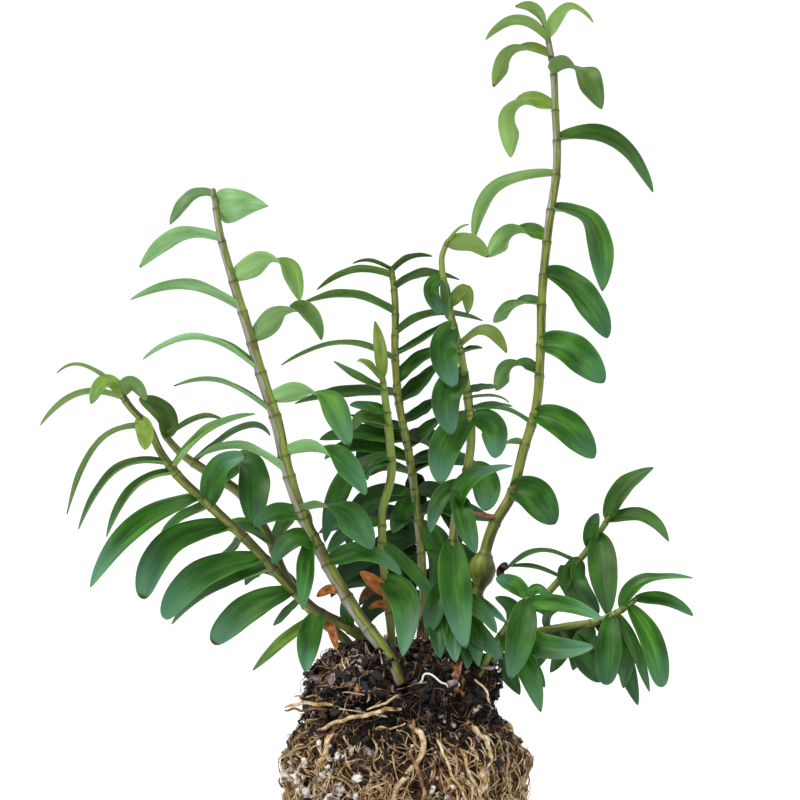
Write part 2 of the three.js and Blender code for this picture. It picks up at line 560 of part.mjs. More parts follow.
// ---- Rhizome and roots --------------------------------------------------------------------------------
// Each root leaves the rhizome, comes out of the side of the ball and wanders down over it
function rootRows(bearing, random) {
  const [left, middle, right] = RHIZOME;
  const startX = Math.cos(bearing) < 0 ? left[0] + RHIZOME_RADIUS : right[0] - RHIZOME_RADIUS;
  const start = [Math.abs(Math.cos(bearing)) < 0.5 ? middle[0] : startX, 0, right[2], ROOT_RADIUS];
  const wander = between([-ROOT_WANDER, ROOT_WANDER], random);
  const foot = between(ROOT_FEET, random);
  const exit = between(ROOT_EXITS, random);
  const outside = [0, 0.25, 0.5, 0.75, 1].map((step) => {
    const height = THREE.MathUtils.lerp(exit, foot, step);
    const sway = wander * step * step + ROOT_WAVE * Math.sin(3 * Math.PI * step);
    return [...ballPoint(height, bearing + sway).toArray(), ROOT_RADIUS * (1 - ROOT_THINNING * step)];
  });
  return [start, ...outside];
}

function rhizomeAndRoots(extra) {
  const random = seededRandom(ROOT_SEED);
  const rhizome = RHIZOME.map(([x, y, z]) => [x, y, z, RHIZOME_RADIUS]);
  let solid = toSolid(bar(rhizome, CANE_SIDES, extra));
  for (let index = 0; index < ROOTS; index += 1) {
    const bearing = (2 * Math.PI * (index + between([0, 0.6], random))) / ROOTS;
    const level = new THREE.Vector3(-Math.sin(bearing), Math.cos(bearing), 0);
    solid = solid.add(toSolid(bar(rootRows(bearing, random), ROOT_SIDES, extra, level)));
  }
  return solid;
}

function rootBall() {
  let solid = plainBall();
  for (const piece of [...barkChips(), ...perlite()]) {
    solid = solid.add(piece);
  }
  solid = solid.subtract(rhizomeAndRoots(CLEARANCE));
  for (const cane of CANES) {
    solid = solid.subtract(toSolid(bar(caneRows(cane), CANE_SIDES, CLEARANCE)));
  }
  return mainBody(solid);
}

// ---- The plant ---------------------------------------------------------------------------------------
function node(name, solid, color, roughness) {
  const material = new THREE.MeshStandardMaterial({ color, roughness, metalness: 0 });
  const mesh = new THREE.Mesh(toGeometry(solid), material);
  mesh.name = name;
  return mesh;
}

const group = new THREE.Group();
group.add(node('root_ball', rootBall(), BARK_BLACK, 0.95));
group.add(node('rhizome_and_roots', mainBody(rhizomeAndRoots(0)), ROOT_TAN, 0.8));
for (const cane of CANES) {
  group.add(node(cane.name, leafyCane(cane), cane.color, 0.5));
}

export default group;
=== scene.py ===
"""A dendrobium orchid lifted out of its pot: ten leafy canes on a ball of potting bark and roots.

Sizes in the tables are millimetres and turn to metres where a mesh is made. +Z is up, the front faces -Y.
"""
import math

import bpy
import numpy as np
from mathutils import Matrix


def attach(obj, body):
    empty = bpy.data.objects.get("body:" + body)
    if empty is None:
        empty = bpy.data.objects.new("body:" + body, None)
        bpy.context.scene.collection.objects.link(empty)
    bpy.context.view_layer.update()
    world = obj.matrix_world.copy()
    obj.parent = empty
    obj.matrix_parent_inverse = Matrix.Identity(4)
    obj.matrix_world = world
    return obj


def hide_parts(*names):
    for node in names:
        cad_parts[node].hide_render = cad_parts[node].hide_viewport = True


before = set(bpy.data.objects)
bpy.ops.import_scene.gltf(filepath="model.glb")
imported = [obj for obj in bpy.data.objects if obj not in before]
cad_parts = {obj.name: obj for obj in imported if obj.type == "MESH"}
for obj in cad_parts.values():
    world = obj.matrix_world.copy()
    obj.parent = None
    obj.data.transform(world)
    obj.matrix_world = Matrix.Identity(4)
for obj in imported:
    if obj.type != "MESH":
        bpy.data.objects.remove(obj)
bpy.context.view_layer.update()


# ---- Tall cane ------------------------------------------------------------------------------------------
# The newest full-grown cane. A dendrobium's stem is a jointed green rod, swollen at its foot, and every
# joint carries one leathery leaf, turn about to the left and to the right. The leaf and cane functions
# that this section needs first serve the other canes too.
CROWN_HEIGHT = 90  # the canes lean to the back or front from here up
CURVE_STEP = 0.5  # mm between the points of a cane's middle line
CANE_SIDES = 16
CANE_STEP = 2.0  # mm between rings on a plain stretch of cane
JOINT_SPACING = 13.0  # mm between the bare joints of a cane's leafless foot
JOINT_STEPS = (-1.3, -0.6, -0.2, 0.2, 0.6, 1.3)  # mm from each joint to the rings close to it
JOINT_REACH = 0.9  # mm over which the swelling of a joint fades
RING_REACH = 0.45  # mm over which the brown of its ring fades
INTERNODE_SWELL = 0.10  # share by which a cane thickens from one joint to the next, and again at a joint
CANE_GROOVE = 0.02  # depth of a cane's three shallow grooves, as a share of its radius

LEAF_ROWS = 34
LEAF_SIDES = 24
LEAF_THICKNESS = 0.9
TIP_THINNING = 0.45  # share of its thickness that a blade loses from foot to tip
ELBOW = 1.5  # how much more sharply than a parabola a blade bends at its crest
RIB_SWAY = 0.025  # share of its length that a midrib may stray sideways
LEAF_FOLD = math.radians(23)  # each half of a blade rises so much from its midrib
FOLD_SPREAD = (0.6, 1.5)  # share of that fold which one leaf has: least and greatest
BASE_CUP = math.radians(38)  # and so much more where the leaf clasps its cane
CUP_LENGTH = 0.07  # share of the leaf's length over which that fades
TURN_START = 0.18  # share of its length where a blade starts to turn
TURN_LENGTH = 0.58  # share of its length over which it turns
TURN_SPREAD = 6  # degrees that its facing may stray to either side
LONG_WAVE = (0.02, 0.08)  # height of the margins' slow wave, as a share of the half width
SHORT_WAVE = (0.01, 0.045)  # and of the quick wave at their very edge
MARGIN_DROOP = 0.07  # share of the half width by which the margins roll down
# how fully the blade widens from its foot, how sharply it narrows to its tip, and its width at the foot
LEAF_OUTLINES = {
    "lance": (0.52, 0.74, 0.24),
    "oval": (0.46, 0.56, 0.34),
    "small": (0.46, 0.62, 0.30),
    "tongue": (0.56, 0.44, 0.26),
    "wedge": (0.12, 0.95, 1.00),
}


def unit(vectors):
    """Each row divided by its own length."""
    return vectors / np.maximum(np.linalg.norm(vectors, axis=-1, keepdims=True), 1e-9)


def cane_curve(stem, lean):
    """Points at even steps along a cane's middle line, its radius there, and the way travelled.

    A cubic runs through the stem's rows, with the mean slope of its neighbours at each row. Above the
    crown y grows by `lean` for each millimetre of height.
    """
    rows = np.array(stem, float)
    points = rows[:, :3].copy()
    points[:, 1] += lean * np.maximum(points[:, 2] - CROWN_HEIGHT, 0)
    chord = np.concatenate([[0], np.cumsum(np.linalg.norm(np.diff(points, axis=0), axis=1))])
    slope = np.gradient(points, chord, axis=0)
    travelled = np.arange(0, chord[-1], CURVE_STEP)
    low = np.clip(np.searchsorted(chord, travelled, side="right") - 1, 0, len(chord) - 2)
    gap = (chord[low + 1] - chord[low])[:, None]
    part = (travelled[:, None] - chord[low][:, None]) / gap
    curve = (
        (2 * part**3 - 3 * part**2 + 1) * points[low]
        + (part**3 - 2 * part**2 + part) * gap * slope[low]
        + (3 * part**2 - 2 * part**3) * points[low + 1]
        + (part**3 - part**2) * gap * slope[low + 1]
    )
    return curve, np.interp(travelled, chord, rows[:, 3]), travelled


def wrapped_grid(rows, sides):
    """Faces and corner places (round, along) of a grid closed round its sides, with a point at each end.

    Points are counted row by row, then come the start point and the end point. The four-cornered faces
    come first, then the three-cornered ones that close the ends. Places count whole turns round and
    whole rows along.
    """
    i, j = np.meshgrid(np.arange(rows - 1), np.arange(sides), indexing="ij")
    k = (j + 1) % sides
    quads = np.stack([i * sides + j, i * sides + k, (i + 1) * sides + k, (i + 1) * sides + j], -1)
    quad_places = np.stack([
        np.stack([j, j + 1, j + 1, j], -1) / sides,
        np.stack([i, i, i + 1, i + 1], -1),
    ], -1)
    j = np.arange(sides)
    k = (j + 1) % sides
    start, end = rows * sides, rows * sides + 1
    ends = np.concatenate([
        np.stack([np.full(sides, start), k, j], -1),
        np.stack([np.full(sides, end), (rows - 1) * sides + j, (rows - 1) * sides + k], -1),
    ])
    around = np.concatenate([np.stack([j + 0.5, j + 1, j], -1), np.stack([j + 0.5, j, j + 1], -1)]) / sides
    along = np.repeat([0, rows - 1], sides)[:, None] * np.ones(3)
    faces = [quads.reshape(-1, 4), ends]
    return faces, [quad_places.reshape(-1, 4, 2), np.stack([around, along], -1)]


def many_grids(count, rows, sides):
    """The faces and places of `count` grids of one kind, whose points follow each other in one list."""
    faces, places = wrapped_grid(rows, sides)
    first = np.arange(count)[:, None, None] * (rows * sides + 2)
    faces = [(part + first).reshape(-1, part.shape[1]) for part in faces]
    return faces, [np.tile(part, (count, 1, 1)) for part in places]


def leaf_surface(base, crest, tip, width, turn_base, turn_tip, outline, draw):
    """Points of one leaf blade, row by row round its section, then its two end points.

    The midrib is a conic arch through base, crest and tip that sways a little to one side. The section
    is a flat lens: across it the leaf reaches half its width times cos(angle), through it half its
    thickness times sin(angle). Each half is folded up from the midrib, most at the base, the margins
    wave once or twice on the way, and the blade turns from its first facing to its last about its crest.
    Half the width is the share along the leaf to one power times the share left to another, made 1 where
    it is widest, and never less than the foot's own width there. The second result is each row's share
    of the way.
    """
    base, crest, tip = (np.array(point, float) for point in (base, crest, tip))
    handle = ((2 + 2 * ELBOW) * crest - base - tip) / (2 * ELBOW)

    def arch(q):
        weights = np.stack([(1 - q) ** 2, 2 * ELBOW * q * (1 - q), q**2], -1)
        return weights @ np.array([base, handle, tip]) / weights.sum(-1, keepdims=True)

    fine = np.linspace(0, 1, 161)
    length = np.concatenate([[0], np.cumsum(np.linalg.norm(np.diff(arch(fine), axis=0), axis=1))])
    even = np.linspace(0, 1, LEAF_ROWS)
    share = 0.004 + 0.992 * (0.6 * even + 0.4 * (0.5 - 0.5 * np.cos(np.pi * even)))  # closer at both ends
    q = np.interp(share * length[-1], length, fine)
    middle = arch(q)
    along = unit(arch(np.minimum(q + 0.01, 1)) - arch(np.maximum(q - 0.01, 0)))
    side = 1 if tip[0] > base[0] else -1
    upward = unit(np.stack([-along[:, 2] * side, np.zeros(LEAF_ROWS), along[:, 0] * side], -1))
    forward = np.cross(along, upward) * side
    turned = np.clip((share - TURN_START) / TURN_LENGTH, 0, 1)
    turned = turned * turned * (3 - 2 * turned)
    facing = turn_base + (turn_tip - turn_base) * turned + draw.uniform(-TURN_SPREAD, TURN_SPREAD)
    turn = np.radians(facing)[:, None]
    normal = forward * np.cos(turn) + upward * np.sin(turn)
    across = unit(np.cross(normal, along))
    sway = draw.uniform(-RIB_SWAY, RIB_SWAY) * length[-1] * np.sin(np.pi * share) ** 2
    middle = middle + across * sway[:, None]
    widening, narrowing, foot = LEAF_OUTLINES[outline]
    widest = widening / (widening + narrowing)
    bulge = (share / widest) ** widening * ((1 - share) / (1 - widest)) ** narrowing
    foot = foot * (1 - share) ** 3
    reach = (width / 2 * (1 - (1 - bulge) * (1 - foot)))[:, None]
    fold = (LEAF_FOLD * draw.uniform(*FOLD_SPREAD) + BASE_CUP * np.exp(-share / CUP_LENGTH))[:, None]
    angle = 2 * np.pi * np.arange(LEAF_SIDES) / LEAF_SIDES
    out, through = np.cos(angle)[None, :], np.sin(angle)[None, :]
    long_wave, short_wave = draw.uniform(*LONG_WAVE), draw.uniform(*SHORT_WAVE)
    wave = long_wave * np.sin(2 * np.pi * (1.4 * share + draw.random()))[:, None] * np.sign(out) * out**2
    wave = wave + short_wave * np.sin(2 * np.pi * (3.1 * share + draw.random()))[:, None] * out**4
    rise = reach * (np.sin(fold) * np.abs(out) ** 1.5 + wave - MARGIN_DROOP * out**6)
    half = LEAF_THICKNESS / 2 * (1 - TIP_THINNING * share[:, None])
    points = (
        middle[:, None, :]
        + across[:, None, :] * (reach * np.cos(fold) * out)[:, :, None]
        + normal[:, None, :] * (rise + half * through)[:, :, None]
    )
    foot_point, tip_point = middle[:1] - along[:1] * 0.1, middle[-1:] + along[-1:] * 0.15
    return np.concatenate([points.reshape(-1, 3), foot_point, tip_point]), share


def make_piece(name, points, faces, places, material, replaced=None, traits=None, smooth=True):
    """Puts points (mm), faces and corner places into a mesh object that rides on the plant.

    `faces` and `places` are lists of arrays, one for each number of corners. `traits` holds named
    values for each point, which the materials read. `replaced` names the solid that the piece stands for.
    """
    mesh = bpy.data.meshes.new(name)
    corners = np.concatenate([part.ravel() for part in faces]).astype(np.int32)
    counts = np.concatenate([np.full(len(part), part.shape[1]) for part in faces])
    starts = np.concatenate([[0], np.cumsum(counts)[:-1]]).astype(np.int32)
    mesh.vertices.add(len(points))
    mesh.vertices.foreach_set("co", (points * 0.001).astype(np.float32).ravel())
    mesh.loops.add(len(corners))
    mesh.loops.foreach_set("vertex_index", corners)
    mesh.polygons.add(len(starts))
    mesh.polygons.foreach_set("loop_start", starts)
    mesh.update(calc_edges=True)
    mesh.polygons.foreach_set("use_smooth", np.full(len(starts), smooth))
    corner_places = np.concatenate([part.reshape(-1, 2) for part in places])
    mesh.uv_layers.new(name="UVMap").data.foreach_set("uv", corner_places.astype(np.float32).ravel())
    for trait, values in (traits or {}).items():
        mesh.attributes.new(trait, "FLOAT", "POINT").data.foreach_set("value", values.astype(np.float32))
    mesh.materials.append(material)
    piece = bpy.data.objects.new(name, mesh)
    bpy.context.scene.collection.objects.link(piece)
    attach(piece, "root")
    if replaced:
        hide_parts(replaced)
    return piece


def linear(colour):
    """An sRGB hex colour as linear red, green, blue and alpha."""
    shares = [int(colour[i:i + 2], 16) / 255 for i in (1, 3, 5)]
    return (*[s / 12.92 if s <= 0.04045 else ((s + 0.055) / 1.055) ** 2.4 for s in shares], 1.0)


def connect(tree, source, socket):
    """Links a socket, or a node's first output in use, into another node's socket."""
    if isinstance(source, bpy.types.Node):
        source = next(output for output in source.outputs if output.enabled)
    tree.links.new(source, socket)


def add_node(tree, kind, values=None, links=None, stops=None, **settings):
    """Adds a shader node: its settings, its unlinked sockets' values, its links and a ramp's stops.

    Sockets go by name or by number. Those of a Map Range are 0 its value, 1 and 2 the range that comes in
    and 3 and 4 the range that goes out. Those of a Mix are 0 the share of its second input, 2 and 3 its
    two numbers and 6 and 7 its two colours.
    """
    node = tree.nodes.new(kind)
    for name, value in settings.items():
        setattr(node, name, value)
    for socket, value in (values or {}).items():
        node.inputs[socket].default_value = value
    for socket, source in (links or {}).items():
        connect(tree, source, node.inputs[socket])
    if stops:
        ramp = node.color_ramp
        while len(ramp.elements) < len(stops):
            ramp.elements.new(0.5)
        for element, (place, colour) in zip(ramp.elements, stops):
            element.position = place
            element.color = linear(colour)
    return node


def new_finish(name):
    """An empty material, its node tree and its shader."""
    material = bpy.data.materials.new(name)
    material.use_nodes = True
    tree = material.node_tree
    return material, tree, tree.nodes["Principled BSDF"]


# Orchid leaf: living tissue under a thick wax cuticle. That gives a satin gloss, fine veins that run
# from foot to tip, a paler midrib and a matt, paler underside that lets some light through.
# UV: u 0 to 0.5 is the upper side from margin to margin, 0.5 to 1 the underside, v runs foot to tip.
orchid_leaf, tree, shader = new_finish("orchid_leaf_cuticle")
place = add_node(tree, "ShaderNodeUVMap", uv_map="UVMap")
leaf_round, leaf_along = add_node(tree, "ShaderNodeSeparateXYZ", links={0: place}).outputs[:2]
turned = add_node(tree, "ShaderNodeMath", {1: 2 * math.pi}, {0: leaf_round}, operation="MULTIPLY")
breadth = add_node(tree, "ShaderNodeMath", links={0: turned}, operation="COSINE")
from_midrib = add_node(tree, "ShaderNodeMath", links={0: breadth}, operation="ABSOLUTE")
underside = add_node(tree, "ShaderNodeMath", {1: 0.5}, {0: leaf_round}, operation="GREATER_THAN")
youth = add_node(tree, "ShaderNodeAttribute", attribute_name="youth").outputs["Fac"]
pallor_and_backlight = add_node(tree, "ShaderNodeAttribute", attribute_name="pallor_and_backlight").outputs["Fac"]
painted_sheen = add_node(tree, "ShaderNodeAttribute", attribute_name="painted_sheen").outputs["Fac"]
tone = add_node(tree, "ShaderNodeAttribute", attribute_name="tone").outputs["Fac"]
# veins about 0.6 mm apart on a 12 mm leaf, a little uneven along their way
vein_place = add_node(tree, "ShaderNodeCombineXYZ", links={0: breadth, 1: leaf_along, 2: tone})
vein_stretch = add_node(
    tree, "ShaderNodeVectorMath", {1: (9.0, 1.1, 20.0)}, {0: vein_place}, operation="MULTIPLY",
)
veins = add_node(
    tree, "ShaderNodeTexNoise", {"Scale": 1.0, "Detail": 3.0, "Roughness": 0.6}, {"Vector": vein_stretch},
)
cloud_stretch = add_node(
    tree, "ShaderNodeVectorMath", {1: (1.3, 2.4, 30.0)}, {0: vein_place}, operation="MULTIPLY",
)
clouds = add_node(tree, "ShaderNodeTexNoise", {"Scale": 1.0, "Detail": 2.0}, {"Vector": cloud_stretch})
mottle = add_node(tree, "ShaderNodeMix", {0: 0.30}, {2: clouds, 3: veins}, data_type="FLOAT")
grown = add_node(tree, "ShaderNodeValToRGB", links={0: mottle}, stops=[
    (0.32, "#174207"), (0.50, "#2f6413"), (0.66, "#4a8824"),
])
fresh = add_node(tree, "ShaderNodeValToRGB", links={0: mottle}, stops=[
    (0.32, "#6d932a"), (0.50, "#8daa44"), (0.66, "#acc064"),
])
upper = add_node(tree, "ShaderNodeMix", links={0: youth, 6: grown, 7: fresh}, data_type="RGBA")
# painted sheen: towards the tip a grown leaf is painted a pale bluish green, a reflection of the sky's light
# on its gloss, as much as the leaf's sheen trait asks
tip_share = add_node(
    tree, "ShaderNodeMapRange", {1: 0.45, 2: 0.98, 3: 0.0, 4: 0.85}, {0: leaf_along},
    interpolation_type="SMOOTHSTEP",
)
painted_sheen_share = add_node(tree, "ShaderNodeMath", links={0: tip_share, 1: painted_sheen}, operation="MULTIPLY")
with_painted_sheen = add_node(tree, "ShaderNodeMix", {7: linear("#63957f")}, {0: painted_sheen_share, 6: upper}, data_type="RGBA")
rib = add_node(
    tree, "ShaderNodeMapRange", {1: 0.0, 2: 0.06, 3: 0.17, 4: 0.0}, {0: from_midrib},
    interpolation_type="SMOOTHSTEP",
)
ribbed = add_node(tree, "ShaderNodeMix", {7: linear("#7f9f58")}, {0: rib, 6: with_painted_sheen}, data_type="RGBA")
dull = add_node(tree, "ShaderNodeValToRGB", links={0: mottle}, stops=[
    (0.32, "#41691f"), (0.50, "#58832f"), (0.66, "#729b42"),
])
# the pale underside: partly the leaf's own paler green, partly painted backlight, as if light shone through
# the leaf on the outer canes
light = add_node(tree, "ShaderNodeValToRGB", links={0: mottle}, stops=[
    (0.32, "#6f9c5c"), (0.50, "#85b276"), (0.66, "#a0c896"),
])
grown_lower = add_node(tree, "ShaderNodeMix", links={0: pallor_and_backlight, 6: dull, 7: light}, data_type="RGBA")
lower_share = add_node(tree, "ShaderNodeMath", {1: 0.7}, {0: youth}, operation="MULTIPLY")
lower = add_node(
    tree, "ShaderNodeMix", {7: linear("#94b05a")}, {0: lower_share, 6: grown_lower}, data_type="RGBA",
)
sides = add_node(tree, "ShaderNodeMix", links={0: underside, 6: ribbed, 7: lower}, data_type="RGBA")
rim = add_node(
    tree, "ShaderNodeMapRange", {1: 0.95, 2: 1.0, 3: 0.0, 4: 0.4}, {0: from_midrib},
    interpolation_type="SMOOTHSTEP",
)
rimmed = add_node(tree, "ShaderNodeMix", {7: linear("#86a35d")}, {0: rim, 6: sides}, data_type="RGBA")
# the last millimetre of every other leaf has dried out
lot = add_node(tree, "ShaderNodeMath", {1: 7.3}, {0: tone}, operation="MULTIPLY")
own_lot = add_node(tree, "ShaderNodeMath", links={0: lot}, operation="FRACT")
dried = add_node(tree, "ShaderNodeMapRange", {1: 0.45, 2: 0.75, 3: 0.0, 4: 0.9}, {0: own_lot})
end_share = add_node(
    tree, "ShaderNodeMapRange", {1: 0.95, 2: 0.985, 3: 0.0, 4: 1.0}, {0: leaf_along},
    interpolation_type="SMOOTHSTEP",
)
dry_end = add_node(tree, "ShaderNodeMath", links={0: end_share, 1: dried}, operation="MULTIPLY")
ended = add_node(tree, "ShaderNodeMix", {7: linear("#3b2f17")}, {0: dry_end, 6: rimmed}, data_type="RGBA")
# shade: a random tone for each leaf, lowered by painted shade on leaves that stand behind others
shade = add_node(tree, "ShaderNodeMapRange", {1: 0.0, 2: 1.0, 3: 0.70, 4: 1.20}, {0: tone}, clamp=False)
toned = add_node(tree, "ShaderNodeVectorMath", links={0: ended, 3: shade}, operation="SCALE")
connect(tree, toned, shader.inputs["Base Color"])
gloss = add_node(tree, "ShaderNodeMix", {2: 0.33, 3: 0.60}, {0: underside}, data_type="FLOAT")
rough = add_node(tree, "ShaderNodeMath", {1: 0.18, 2: 0.0}, {0: veins, 2: gloss}, operation="MULTIPLY_ADD")
connect(tree, rough, shader.inputs["Roughness"])
bump = add_node(tree, "ShaderNodeBump", {"Strength": 0.12, "Distance": 0.0001}, {"Height": veins})
connect(tree, bump, shader.inputs["Normal"])
shader.inputs["IOR"].default_value = 1.4
shader.inputs["Specular IOR Level"].default_value = 0.38
shader.inputs["Subsurface Weight"].default_value = 0.12
shader.inputs["Subsurface Radius"].default_value = (0.5, 1.0, 0.3)
shader.inputs["Subsurface Scale"].default_value = 0.0012

# Cane skin: the green rind of the stem under the dry sheaths of its leaves. Old sheaths turn to silvery
# paper with brown edges, and each joint is ringed with brown where the sheath ended.
# UV: u runs round the cane from its right side over the back, v is the way along it in centimetres.
cane_skin, tree, shader = new_finish("orchid_cane_skin")
place = add_node(tree, "ShaderNodeUVMap", uv_map="UVMap")
cane_round, cane_along = add_node(tree, "ShaderNodeSeparateXYZ", links={0: place}).outputs[:2]
joint = add_node(tree, "ShaderNodeAttribute", attribute_name="joint").outputs["Fac"]
papery = add_node(tree, "ShaderNodeAttribute", attribute_name="papery").outputs["Fac"]
youth = add_node(tree, "ShaderNodeAttribute", attribute_name="youth").outputs["Fac"]
sheath = add_node(tree, "ShaderNodeAttribute", attribute_name="sheath").outputs["Fac"]
weather = add_node(tree, "ShaderNodeAttribute", attribute_name="weather").outputs["Fac"]
round_angle = add_node(tree, "ShaderNodeMath", {1: 2 * math.pi}, {0: cane_round}, operation="MULTIPLY")
east = add_node(tree, "ShaderNodeMath", links={0: round_angle}, operation="COSINE")
north = add_node(tree, "ShaderNodeMath", links={0: round_angle}, operation="SINE")
ring_place = add_node(tree, "ShaderNodeCombineXYZ", links={0: east, 1: north, 2: cane_along})
# fibres about 0.3 mm wide and 8 mm long
fibre_stretch = add_node(
    tree, "ShaderNodeVectorMath", {1: (5.0, 5.0, 0.9)}, {0: ring_place}, operation="MULTIPLY",
)
fibres = add_node(
    tree, "ShaderNodeTexNoise", {"Scale": 1.4, "Detail": 4.0, "Roughness": 0.65},
    {"Vector": fibre_stretch},
)
patch_stretch = add_node(
    tree, "ShaderNodeVectorMath", {1: (0.9, 0.9, 0.8)}, {0: ring_place}, operation="MULTIPLY",
)
patches = add_node(tree, "ShaderNodeTexNoise", {"Scale": 1.0, "Detail": 3.0}, {"Vector": patch_stretch})
rind = add_node(tree, "ShaderNodeValToRGB", links={0: fibres}, stops=[
    (0.30, "#5a6a1c"), (0.48, "#7f8c34"), (0.62, "#98a246"), (0.78, "#afb566"),
])
green_rind = add_node(tree, "ShaderNodeMix", {7: linear("#7fa548")}, {0: youth, 6: rind}, data_type="RGBA")
paper = add_node(tree, "ShaderNodeValToRGB", links={0: fibres}, stops=[
    (0.30, "#77796a"), (0.50, "#9ea292"), (0.72, "#c3c6b9"),
])
weather_spread = add_node(tree, "ShaderNodeMath", {1: 0.5}, {0: fibres, 2: patches}, operation="MULTIPLY_ADD")
weather_level = add_node(
    tree, "ShaderNodeMath", {1: 0.6}, {0: weather, 2: weather_spread}, operation="MULTIPLY_ADD",
)
# the dark olive brown reaches farther round the cane's right side: partly weathering, partly painted shade on
# the side away from the lamp
weather_and_shaded_side = add_node(
    tree, "ShaderNodeMath", {1: 0.24}, {0: east, 2: weather_level}, operation="MULTIPLY_ADD",
)
weather_and_shade_share = add_node(
    tree, "ShaderNodeMapRange", {1: 0.98, 2: 1.30, 3: 0.0, 4: 0.9}, {0: weather_and_shaded_side},
    interpolation_type="SMOOTHSTEP",
)
browned_and_shaded = add_node(
    tree, "ShaderNodeMix", {7: linear("#39340f")}, {0: weather_and_shade_share, 6: green_rind}, data_type="RGBA",
)
paper_side = add_node(tree, "ShaderNodeMath", {1: -0.42, 2: 0.05}, {0: east}, operation="MULTIPLY_ADD")
paper_spread = add_node(
    tree, "ShaderNodeMath", {1: 0.9}, {0: patches, 2: paper_side}, operation="MULTIPLY_ADD",
)
paper_level = add_node(tree, "ShaderNodeMath", links={0: paper_spread, 1: papery}, operation="ADD")
paper_share = add_node(
    tree, "ShaderNodeMapRange", {1: 1.10, 2: 1.25, 3: 0.0, 4: 0.9}, {0: paper_level},
    interpolation_type="SMOOTHSTEP",
)
paper_edge = add_node(
    tree, "ShaderNodeMapRange", {1: 0.99, 2: 1.10, 3: 0.0, 4: 0.75}, {0: paper_level},
    interpolation_type="SMOOTHSTEP",
)
edged = add_node(tree, "ShaderNodeMix", {7: linear("#6b4c28")}, {0: paper_edge, 6: browned_and_shaded}, data_type="RGBA")
sheathed = add_node(tree, "ShaderNodeMix", links={0: paper_share, 6: edged, 7: paper}, data_type="RGBA")
below_joint = add_node(
    tree, "ShaderNodeMapRange", {1: 0.75, 2: 1.0, 3: 0.0, 4: 0.35}, {0: sheath},
    interpolation_type="SMOOTHSTEP",
)
aged = add_node(
    tree, "ShaderNodeMix", {7: linear("#6f7334")}, {0: below_joint, 6: sheathed}, data_type="RGBA",
)
ring_share = add_node(tree, "ShaderNodeMath", links={0: joint, 1: patches}, operation="MULTIPLY")
ringed = add_node(tree, "ShaderNodeMix", {7: linear("#35280f")}, {0: ring_share, 6: aged}, data_type="RGBA")
connect(tree, ringed, shader.inputs["Base Color"])
rough = add_node(tree, "ShaderNodeMapRange", {1: 0.0, 2: 1.0, 3: 0.38, 4: 0.72}, {0: paper_share})
connect(tree, rough, shader.inputs["Roughness"])
bump = add_node(tree, "ShaderNodeBump", {"Strength": 0.4, "Distance": 0.0002}, {"Height": fibres})
connect(tree, bump, shader.inputs["Normal"])
shader.inputs["IOR"].default_value = 1.45


def joint_heights(stem, leaves):
    """Heights of a cane's joints: one at every leaf, and bare ones a regular way apart down to its foot."""
    leafy = sorted({leaf[0] for leaf in leaves})
    bare = np.arange(leafy[0] - JOINT_SPACING, stem[0][2], -JOINT_SPACING)
    return np.sort(np.concatenate([leafy, bare]))


def cane_stem(name, stem, leaves, lean, papery, weather, youth):
    """One cane as a tube along its curve: at each ring, the radius times cosine and sine of the angle.

    `papery` is how dry its sheaths are at foot and top, `weather` how brown they are there, `youth` the
    heights between which its green turns fresh. Its radius grows by a tenth from each joint to the next,
    falls back above it, and swells a little at the joint itself. It closes at the foot and in a blunt bud
    at the top.
    """
    curve, radius, travelled = cane_curve(stem, lean)
    joints = np.interp(joint_heights(stem, leaves), curve[:, 2], travelled)
    near = (joints[:, None] + np.array(JOINT_STEPS)).ravel()
    stations = np.concatenate([np.arange(0, travelled[-1], CANE_STEP), near, [travelled[-1]]])
    stations = np.unique(np.round(stations[(stations >= 0) & (stations <= travelled[-1])], 2))
    centre = np.stack([np.interp(stations, travelled, curve[:, axis]) for axis in range(3)], -1)
    along = unit(np.gradient(centre, stations, axis=0))
    across = unit(np.cross([0.0, 1.0, 0.0], along))
    up = np.cross(along, across)
    fences = np.concatenate([[joints[0] - JOINT_SPACING], joints, [travelled[-1] + JOINT_SPACING]])
    below = fences[np.searchsorted(fences, stations, side="right") - 1]
    above = fences[np.minimum(np.searchsorted(fences, stations, side="right"), len(fences) - 1)]
    part = np.clip((stations - below) / np.maximum(above - below, 1e-6), 0, 1)
    gap = np.abs(stations[:, None] - joints).min(1)
    swell = 0.92 + INTERNODE_SWELL * part**2 + INTERNODE_SWELL * np.exp(-(gap / JOINT_REACH) ** 2)
    girth = np.interp(stations, travelled, radius) * swell
    angle = 2 * np.pi * np.arange(CANE_SIDES) / CANE_SIDES
    ribs = 1 + CANE_GROOVE * np.sin(3 * angle[None, :] + stations[:, None] / 9)
    points = (
        centre[:, None, :]
        + across[:, None, :] * (girth[:, None] * ribs * np.cos(angle))[:, :, None]
        + up[:, None, :] * (girth[:, None] * ribs * np.sin(angle))[:, :, None]
    )
    ends = np.stack([centre[0] - along[0] * 0.3, centre[-1] + along[-1] * girth[-1] * 0.9])
    faces, places = wrapped_grid(len(stations), CANE_SIDES)
    for grid in places:
        grid[..., 1] = stations[grid[..., 1].astype(int)] / 10
    traits = {
        "joint": np.exp(-(gap / RING_REACH) ** 2) * 1.3,
        "sheath": part,
        "papery": papery[0] + (papery[1] - papery[0]) * (stations / stations[-1]) ** 2,
        "weather": np.interp(stations, (0, stations[-1]), weather),
        "youth": np.clip(np.interp(centre[:, 2], youth, (0, 1)), 0, 1),
    }
    traits = {
        trait: np.concatenate([np.repeat(values, CANE_SIDES), values[[0, -1]]])
        for trait, values in traits.items()
    }
    points = np.concatenate([points.reshape(-1, 3), ends])
    return make_piece(name + "_stem", points, faces, places, cane_skin, name, traits)


